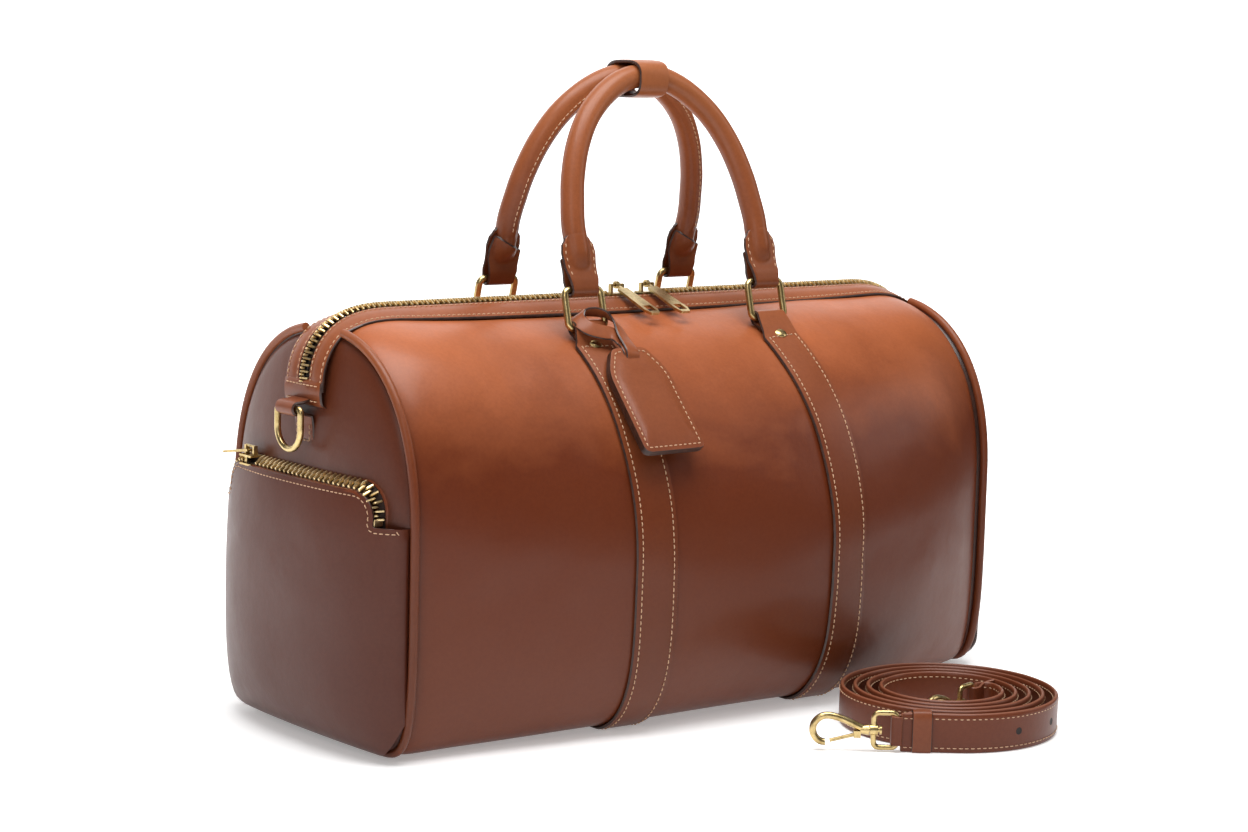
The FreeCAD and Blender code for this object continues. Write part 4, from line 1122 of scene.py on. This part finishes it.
def pocket_zip():
    """Tape, teeth, stops and bindings that close the pocket's mouth, tilted up and outwards."""
    tilt = 0.5

    def at(offset, lift):
        return [mm(-pocket_zip_depth(y) - offset, y, z) + n * (lift - offset * tilt)
                for y, z, n in pocket_arch_line()]

    parts = (("pocket_tape_inner", -9.5, -1.4, "zip_tape", TAPE, "pocket_zip_tapes", -0.6, 0.8),
             ("pocket_tape_outer", 1.4, 5.0, "zip_tape", TAPE, "pocket_zip_tapes", -0.6, 0.8),
             ("pocket_binding_inner", -16.0, -5.4, "leather", TRIM, "pocket_zip_strips", 1.2, 1.6),
             ("pocket_binding_outer", 4.0, 5.6, "leather", TRIM, "pocket_zip_strips", -0.2, 1.2))
    for name, a, b, slot, material, replaced, lift, thick in parts:
        offsets = (a, (a * 2 + b) / 3, (a + b * 2) / 3, b)
        rows = [at(offset, lift + rise) for offset, rise in zip(offsets, (0, 0.25, 0.25, 0))]
        under = [at(offset, lift - thick) for offset in offsets]
        piece = slab(name, rows, under, "bag", [material])
        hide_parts(replaced)
    line = pocket_arch_line()
    points = [mm(-pocket_zip_depth(y), y, z) for y, z, n in line]
    normals = [n for y, z, n in line]
    places = []
    for i, (p, t, n) in enumerate(resample(points, 2.5, normals)):
        if abs(p.y - 56) < 7.5 or (p.z < POCKET_STEP + 4 and abs(p.y) > 70):
            continue
        up = (n + mm(-tilt, 0, 0)).normalized()
        across = t.cross(up).normalized()
        places.append((p + up * 0.9, t, across, up, 1 if i % 2 else -1))
    teeth("pocket_teeth", places, "bag", "pocket_zip_teeth")
    for sign, label in ((-1, "front"), (1, "rear")):
        y = sign * (POCKET_ARCH - 3)
        centre = mm(-pocket_zip_depth(y), y + sign * 0.8, POCKET_STEP + 2.2)
        rings = []
        for z, grow in ((-2.4, 0.75), (-1.8, 1.0), (1.8, 1.0), (2.4, 0.75)):
            rings.append([centre + mm(dx * grow, dy * grow, z) for dx, dy in STOP_OUTLINE])
        sweep("pocket_stop_" + label, rings, "bag", [TEETH], 35)


def slip_pocket():
    """Open pocket on the plain end, with stitches along its top edge; the turn of that edge is not modelled.
    """
    top = 171.0
    edge = []
    for y, z in pocket_edge():
        if z >= POCKET_STEP - 1:
            y, z = max(-POCKET_HALF, min(POCKET_HALF, y * 1.19)), top
        edge.append((y, z))

    def point(spot, share, lift=0.0):
        y, z = spot[0] * share, 88.0 + (spot[1] - 88.0) * share
        side_share = max(0.0, 1 - min(1.0, abs(y) / POCKET_HALF) ** 2.6) ** (1 / 2.6)
        low = min(1.0, max(0.0, (62 - z) / 60))
        foot_share = (1 - low ** 2.2) ** (1 / 2.2)
        return mm(HALF_LENGTH + 3.4 + 18.5 * side_share * foot_share + lift, y, z)

    shares = [1.0, 0.998, 0.993, 0.98, 0.96, 0.93, 0.88, 0.8, 0.68, 0.52, 0.35, 0.18]
    verts = [point(spot, s) for s in shares for spot in edge] + [point(edge[0], 0.0)]
    faces = polar_faces(len(shares), len(edge), False)
    piece = make_object("slip_pocket_face", verts, faces, "bag", [END, EDGE])
    thicken(piece, 2.2, rim=1)
    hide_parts("slip_pocket")
    spots = [s for s in edge if s[1] > 170 and abs(s[0]) < 99]
    points = [point((y, z - 3.6), 1.0, 0.15) for y, z in spots]
    thread("slip_pocket_stitches", [(points, [mm(1, 0, 0)] * len(points))], "bag")


# ---- luggage tag ---------------------------------------------------------------------------------

TAG_TOP = mm(-67, -77, 249)
TAG_SLOPE = math.radians(-49)


def tag_spot(u, v, w):
    """Point on the tag: u across, v down from its top, w out of its face."""
    down = mm(0, -math.cos(TAG_SLOPE), math.sin(TAG_SLOPE))
    out = mm(0, math.sin(TAG_SLOPE), math.cos(TAG_SLOPE))
    return TAG_TOP + mm(u, 0, 0) + down * v + out * w


def tag_outline(shrink):
    """Outline of the tag in its own plane, drawn in by a distance."""
    corners = [(-14, 0, 5), (14, 0, 5), (25, 19, 8), (25.5, 81, 6), (-25.5, 81, 6), (-25, 19, 8)]
    found = []
    total = len(corners)
    for i, (u, v, r) in enumerate(corners):
        p = Vector((u, v))
        a = Vector(corners[i - 1][:2]) - p
        b = Vector(corners[(i + 1) % total][:2]) - p
        p0, p1 = p + a.normalized() * r, p + b.normalized() * r
        for k in range(7):
            t = k / 6
            found.append(p0 * (1 - t) ** 2 + p * 2 * t * (1 - t) + p1 * t * t)
    centre = Vector((0, 43))
    if shrink:
        shrunk = []
        for i, p in enumerate(found):
            t = (found[(i + 1) % len(found)] - found[i - 1]).normalized()
            n = Vector((-t.y, t.x))
            if n.dot(centre - p) < 0:
                n = -n
            shrunk.append(p + n * shrink)
        found = shrunk
    return found


def tag_layer(name, low, high, puff, replaced):
    outlines = [tag_outline(0), tag_outline(0), tag_outline(0.35), tag_outline(2.0), tag_outline(4.6)]
    centre = Vector((0, 43))
    for share in (0.78, 0.55, 0.3):
        outlines.append([centre + (p - centre) * share for p in tag_outline(0)])
    rises = [low, (low + high) / 2] + [high + puff * swell for swell in (0, 0.25, 0.1, 0.75, 1, 1)]
    levels = list(zip(outlines, rises))
    cols = len(outlines[0])
    verts = []
    for outline, (_, w) in zip(outlines, levels):
        verts += [tag_spot(p.x, p.y, w) for p in outline]
    verts.append(tag_spot(0, 43, high + puff))
    verts.append(tag_spot(0, 43, low))
    top = len(verts) - 2
    faces, slots = [], []
    for i in range(len(levels) - 1):
        for j in range(cols):
            k = (j + 1) % cols
            faces.append((i * cols + j, i * cols + k, (i + 1) * cols + k, (i + 1) * cols + j))
            slots.append(1 if i < 2 else 0)
    for j in range(cols):
        k = (j + 1) % cols
        faces.append(((len(levels) - 1) * cols + j, (len(levels) - 1) * cols + k, top))
        faces.append((k, j, top + 1))
        slots += [0, 1]
    piece = make_object(name, verts, faces, "tag", [TRIM, EDGE], 50, slots)
    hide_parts(replaced)


def tag():
    tag_layer("tag_face", 0.3, 2.4, 0.9, "tag_front")
    tag_layer("tag_rear", -2.2, 0.2, 0.0, "tag_back")
    outline = tag_outline(3.4)
    outline.append(outline[0])
    out = tag_spot(0, 0, 1) - tag_spot(0, 0, 0)
    points = [tag_spot(p.x, p.y, 2.55) for p in outline]
    thread("tag_stitches", [(points, [out] * len(points))], "tag")
    # painted shade: the slot is a flat dark quad in edge paint laid over the tag, standing in for its shaded
    # opening
    slot = []
    for u, v in ((-6.6, 7.4), (6.6, 7.4), (6.6, 10.8), (-6.6, 10.8)):
        slot.append(tag_spot(u, v, 2.75))
    make_object("tag_slot", slot, [(0, 3, 2, 1)], "tag", [EDGE])


def thong():
    """Strap of the tag: up through the slot, through the ring and back."""
    up_leg = [tag_spot(0, 12, -0.6), tag_spot(0, 9.2, 2.2), tag_spot(0.5, 4, 4.6), mm(-64.5, -71, 257.0),
              mm(-64.0, -63, 264.5), mm(-67.5, -56.5, 270.0), mm(-75.0, -52.0, 272.0), mm(-84, -50.5, 271.0),
              mm(-89.5, -54.5, 267.5), mm(-87, -61.5, 263.0), mm(-78.5, -65.5, 260.0), mm(-70.5,
              -67.5, 258.4),
              mm(-66.0, -72.5, 253.0), tag_spot(-0.5, 3, 2.9), tag_spot(-0.5, 7.4, 1.2),
              tag_spot(-0.3, 9.5, -1.8)]
    ups = [mm(0, -0.5, 0.9), mm(0, -0.7, 0.7), mm(0.1, -0.7, 0.7), mm(0.3, -0.6, 0.75),
           mm(0.5, -0.3, 0.8), mm(0.4, 0.3, 0.85), mm(0.1, 0.6, 0.8), mm(-0.2, 0.5, 0.85),
           mm(-0.7, -0.2, 0.7), mm(-0.2, -0.9, 0.45), mm(0, -0.9, 0.5), mm(0, -0.8, 0.6),
           mm(0, -0.7, 0.7), mm(0, -0.66, 0.75), mm(0, -0.5, 0.85), mm(0, -0.3, 0.95)]
    line = smooth_line(up_leg, 8)
    normals = smooth_line(ups, 8)
    cols = (-4.8, -4.4, -2.4, 0, 2.4, 4.4, 4.8)
    tangents = line_frames(line)
    outer, inner = [], []
    for p, t, n in zip(line, tangents, normals):
        across = t.cross(n).normalized()
        n = across.cross(t).normalized()
        outer.append([p + across * c + n * (0.9 - 0.25 * (c / 4.8) ** 4) for c in cols])
        inner.append([p + across * c - n * 0.9 for c in cols])
    piece = slab("tag_strap", outer, inner, "bag", [TRIM, EDGE])
    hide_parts("tag_thong")


# ---- shoulder strap ------------------------------------------------------------------------------

COIL = mm(108.6, -210.1, 0)
COIL_RADIUS = 75.5
COIL_INNER = 37.5
LEAVE_ANGLE = 230.7
INNER_ANGLE = -22.0
FULL_TURNS = 4
OUTER_RUN = 36.0
BEND = 8.0
INNER_HEADING = 190.0
STRAP_WIDTH = 25.5
STRAP_FACE = 1.62
BAR_REACH = 3.4
HOLE_START = 78
HOLE_PITCH = 37


def strap_line():
    """Line of the strap in plan, from the outer hook inwards, with the direction to its outer side."""
    leave = bearing(LEAVE_ANGLE)
    out_dir = mm(leave.y, -leave.x, 0)
    tangent_point = COIL + leave * COIL_RADIUS
    line = [(tangent_point + out_dir * (OUTER_RUN * (1 - i / 9.0)), leave) for i in range(9)]
    sweep_angle = INNER_ANGLE + 360 - LEAVE_ANGLE + 360 * FULL_TURNS
    steps = 420
    for i in range(steps + 1):
        turn = sweep_angle * i / steps
        radius = COIL_RADIUS - (COIL_RADIUS - COIL_INNER) * turn / sweep_angle
        n = bearing(LEAVE_ANGLE + turn)
        line.append((COIL + n * radius, n))
    hub = COIL + bearing(INNER_ANGLE) * (COIL_INNER - BEND)
    for i in range(1, 13):
        n = bearing(INNER_ANGLE + (INNER_HEADING - 90 - INNER_ANGLE) * i / 12)
        line.append((hub + n * BEND, n))
    return line


def strap():
    line = strap_line()
    levels = [(0.15, 0.9), (0.9, 1.45), (3.0, 1.6), (12.5, 1.62), (22.5, 1.6), (24.6, 1.45), (25.35, 0.9)]
    outer, inner = [], []
    for i, (p, n) in enumerate(line):
        lean = 0.5 * math.sin(i * 0.071)
        outer.append([p + n * (half + lean * (z / 24 - 0.5)) + mm(0, 0, z) for z, half in levels])
        inner.append([p - n * (half - lean * (z / 24 - 0.5)) + mm(0, 0, z) for z, half in levels])
    piece = slab("strap_leather_coil", outer, inner, "strap", [STRAP, STRAP_EDGE])
    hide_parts("shoulder_strap")
    rows = []
    for z in (3.2, 22.3):
        for sign in (1, -1):
            points = [p + n * (sign * 1.66) + mm(0, 0, z) for p, n in line]
            rows.append((points, [n * sign for p, n in line]))
    thread("strap_stitches", rows, "strap", radius=0.36, length=2.7)
    holes(line)


def holes(line):
    """Punched adjusting holes on the outer turn, drawn as dark round discs of painted shade instead of open
    holes.
    """
    points = [p for p, n in line]
    normals = [n for p, n in line]
    spots = resample(points, 1.0, normals)
    for k in range(6):
        p, t, n = spots[HOLE_START + HOLE_PITCH * k]
        centre = p + mm(0, 0, STRAP_WIDTH / 2) + n * STRAP_FACE
        rings = []
        for radius, rise in ((2.5, -0.3), (2.45, 0.10), (2.2, 0.14), (1.9, 0.07), (0.4, 0.06)):
            rings.append([centre + n * rise + (t * math.cos(a) + mm(0, 0, 1) * math.sin(a)) * radius
                          for a in [2 * math.pi * m / 20 for m in range(20)]])
        sweep("strap_hole_%d" % (k + 1), rings, "strap", [HOLE])


def end_place(inner):
    """Middle of a swivel ring's bar at the foot of the strap, and the strap's heading there."""
    if inner:
        hub = COIL + bearing(INNER_ANGLE) * (COIL_INNER - BEND)
        heading = bearing(INNER_HEADING)
        return hub + bearing(INNER_HEADING - 90) * BEND + heading * BAR_REACH, heading
    leave = bearing(LEAVE_ANGLE)
    heading = mm(leave.y, -leave.x, 0)
    return COIL + leave * COIL_RADIUS + heading * (OUTER_RUN + BAR_REACH), heading


def strap_end(label, inner):
    """Fold of the strap round its ring bar, with the tail laid on the outer side; the tail's stitches are not
    drawn.
    """
    bar, heading = end_place(inner)
    bar = bar + mm(0, 0, STRAP_WIDTH / 2 + 1.2)
    side = mm(-heading.y, heading.x, 0)
    if not inner:
        side = -side
    wrap = 1.8 + 0.45
    path = [(-24.0, 3.7), (-16, 3.8), (-8, 3.9), (-3, wrap + 1.9)]
    points = [bar + heading * a + side * b for a, b in path]
    normals = [side] * len(points)
    for i in range(1, 12):
        a = math.radians(90 - 180 * i / 12)
        n = heading * math.cos(a) + side * math.sin(a)
        points.append(bar + n * (wrap + 1.9))
        normals.append(n)
    points += [bar - heading * 2.5 - side * (wrap + 1.7)]
    normals += [-side]
    outer, inner_rows = [], []
    zs = [-9.2, -8.8, -6, 0, 6, 8.8, 9.2]
    for i, (p, n) in enumerate(zip(points, normals)):
        spread = 12.4 / 9.2 if i < 3 else 1.0
        outer.append([p + mm(0, 0, z * spread - 1.2 * (1 if i < 3 else 0)) for z in zs])
        inner_rows.append([p - n * 1.9 + mm(0, 0, z * spread - 1.2 * (1 if i < 3 else 0)) for z in zs])
    piece = slab(label + "_strap_end", outer, inner_rows, "strap", [STRAP, STRAP_EDGE],
                 flip=not inner)
    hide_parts(label + "_strap_fold")
    if not inner:
        keeper_piece(bar, heading, side)


def keeper_piece(bar, heading, side):
    """Narrow leather loop that holds the strap's folded tail."""
    rings_out, rings_in = [], []
    cols = (-6, -5.5, -3, 0, 3, 5.5, 6)
    for k in range(41):
        a = 2 * math.pi * k / 40
        c, s = math.cos(a), math.sin(a)
        u = math.copysign(abs(c) ** 0.42, c) * 5.0 + 1.6
        v = math.copysign(abs(s) ** 0.42, s) * 13.3 - 0.6
        n = (side * c + mm(0, 0, 1) * s).normalized()
        base = bar - heading * 16 + side * u + mm(0, 0, v)
        rings_out.append([base + heading * w + n * (0.5 + 0.3 * (1 - (w / 6) ** 4)) for w in cols])
        rings_in.append([base + heading * w - n * 0.9 for w in cols])
    piece = slab("strap_keeper_loop", rings_out, rings_in, "strap", [KEEPER, EDGE])
    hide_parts("strap_keeper")


# ---- metal that stays from the CAD model ---------------------------------------------------------

def dress_frame():
    """Gives the pieces that stay from the CAD model their materials."""
    for name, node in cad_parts.items():
        metal = any(key in name for key in ("slider", "pull", "hook", "gate")) or name.endswith("_ring")
        if metal or name == "tag_card":
            node.data.materials.clear()
            node.data.materials.append(BRASS if metal else CARD)


# ---- stage ---------------------------------------------------------------------------------------

def floor_material():
    """White paper with painted light: it glows, weakly near the bag and more strongly further out, brightest
    round and behind the bag; to the right of the set its colour is painted grey and its glow falls off, as
    painted shade.
    """
    material, tree, shader = new_material("white_sweep")
    shader.inputs["Roughness"].default_value = 0.6
    shader.inputs["Specular IOR Level"].default_value = 0.1
    split = tree.nodes.new("ShaderNodeSeparateXYZ")
    tree.links.new(object_place(tree), split.inputs[0])
    across = math_node(tree, "ADD", math_node(tree, "MULTIPLY", split.outputs["X"], 0.773),
                       math_node(tree, "MULTIPLY", split.outputs["Y"], -0.634))
    along = math_node(tree, "ADD", math_node(tree, "MULTIPLY", split.outputs["X"], 0.634),
                      math_node(tree, "MULTIPLY", split.outputs["Y"], 0.773))
    beyond = math_node(tree, "SUBTRACT", across, math_node(tree, "MULTIPLY", along, 0.24))
    # painted shade: the paper's colour and glow are dimmed to the right of the set
    dim = math_node(tree, "MULTIPLY", math_node(tree, "SUBTRACT", beyond, 0.50), 2.6, clamp=True)
    bright = math_node(tree, "SUBTRACT", 1.0, dim)
    colour = mix_node(tree, bright, (0.30, 0.30, 0.30), (0.94, 0.94, 0.94))
    tree.links.new(colour, shader.inputs["Base Color"])
    # painted light: the paper glows, at 0.30 near the bag and up to 1.02 further out
    away = tree.nodes.new("ShaderNodeVectorMath")
    away.operation = "LENGTH"
    tree.links.new(object_place(tree), away.inputs[0])
    beyond_bag = math_node(tree, "SUBTRACT", away.outputs["Value"], 0.34)
    far = math_node(tree, "MULTIPLY", beyond_bag, 1.9, clamp=True)
    strength = math_node(tree, "ADD", math_node(tree, "MULTIPLY", far, 0.72), 0.30)
    glow = math_node(tree, "MULTIPLY", strength, bright)
    shader.inputs["Emission Color"].default_value = (1, 1, 1, 1)
    tree.links.new(glow, shader.inputs["Emission Strength"])
    return material


def studio():
    """White paper sweep, soft lights and a dim room."""
    material = floor_material()
    verts, faces = [], []
    profile = [(-9.0, 0), (-2.0, 0), (1.5, 0), (2.2, 0), (2.6, 0.03), (3.0, 0.14), (3.35, 0.36), (3.6, 0.75),
               (3.7, 1.3), (3.7, 5.0)]
    facing = Vector((0.634, 0.773, 0))
    right = Vector((0.773, -0.634, 0))
    for along, rise in profile:
        for across in (-9, 9):
            verts.append(facing * along + right * across + Vector((0, 0, rise)))
    for i in range(len(profile) - 1):
        faces.append((2 * i, 2 * i + 1, 2 * i + 3, 2 * i + 2))
    mesh = bpy.data.meshes.new("floor_sweep")
    mesh.from_pydata(verts, [], faces)
    mesh.polygons.foreach_set("use_smooth", [True] * len(faces))
    mesh.materials.append(material)
    floor = bpy.data.objects.new("floor_sweep", mesh)
    floor.location.z = -0.0002
    bpy.context.scene.collection.objects.link(floor)

    def lamp(name, place, target, size, power, colour=(1, 1, 1)):
        light = bpy.data.lights.new(name, "AREA")
        light.shape = "RECTANGLE"
        light.size, light.size_y = size
        light.energy = power
        light.color = colour
        lamp_object = bpy.data.objects.new(name, light)
        lamp_object.location = place
        aim = Vector(target) - Vector(place)
        lamp_object.rotation_euler = aim.to_track_quat("-Z", "Y").to_euler()
        bpy.context.scene.collection.objects.link(lamp_object)

    lamp("top_softbox", (-0.15, -0.25, 1.7), (0, 0, 0.1), (1.5, 1.1), 38)
    lamp("left_softbox", (-1.7, -1.3, 1.3), (-0.1, 0, 0.2), (0.8, 0.8), 7, (1, 0.97, 0.93))
    lamp("right_softbox", (1.5, -0.9, 1.0), (0.1, 0, 0.2), (0.6, 0.9), 4, (1, 0.97, 0.94))
    world = bpy.data.worlds.new("studio")
    world.use_nodes = True
    world.node_tree.nodes["Background"].inputs["Color"].default_value = (1, 1, 1, 1)
    world.node_tree.nodes["Background"].inputs["Strength"].default_value = 0.12
    bpy.context.scene.world = world
    bpy.context.scene.view_settings.view_transform = "Standard"


def camera():
    place = Vector((-1.1922, -1.4476, 0.4469))
    forward = Vector((0.6287, 0.7658, -0.1353)).normalized()
    right = forward.cross(Vector((0, 0, 1))).normalized()
    up = right.cross(forward)
    roll = math.radians(1.43)
    x_axis = right * math.cos(roll) + up * math.sin(roll)
    y_axis = up * math.cos(roll) - right * math.sin(roll)
    lens = bpy.data.cameras.new("camera")
    lens.sensor_width = 36
    lens.lens = 78.3
    view = bpy.data.objects.new("camera", lens)
    view.matrix_world = Matrix.Translation(place) @ Matrix((x_axis, y_axis, -forward)).transposed().to_4x4()
    bpy.context.scene.collection.objects.link(view)
    bpy.context.scene.camera = view


camera()
studio()
for side in (1, -1):
    body_skin(side)
    gusset(side)
    handle_grip(side)
    for x0 in (-BAND_X, BAND_X):
        band(side, x0)
        rivet(side, x0)
        chape(side, x0)
base_skin()
for sign in (-1, 1):
    end_skin(sign)
    piping(sign)
    gusset_end(sign)
    end_tab(sign)
tape_strip("main_zip_tape", 1.4, 9.0, 1.4, "zip_tapes")
main_teeth()
keeper()
pocket_face()
pocket_zip()
slip_pocket()
tag()
thong()
strap()
strap_end("outer", False)
strap_end("inner", True)
dress_frame()
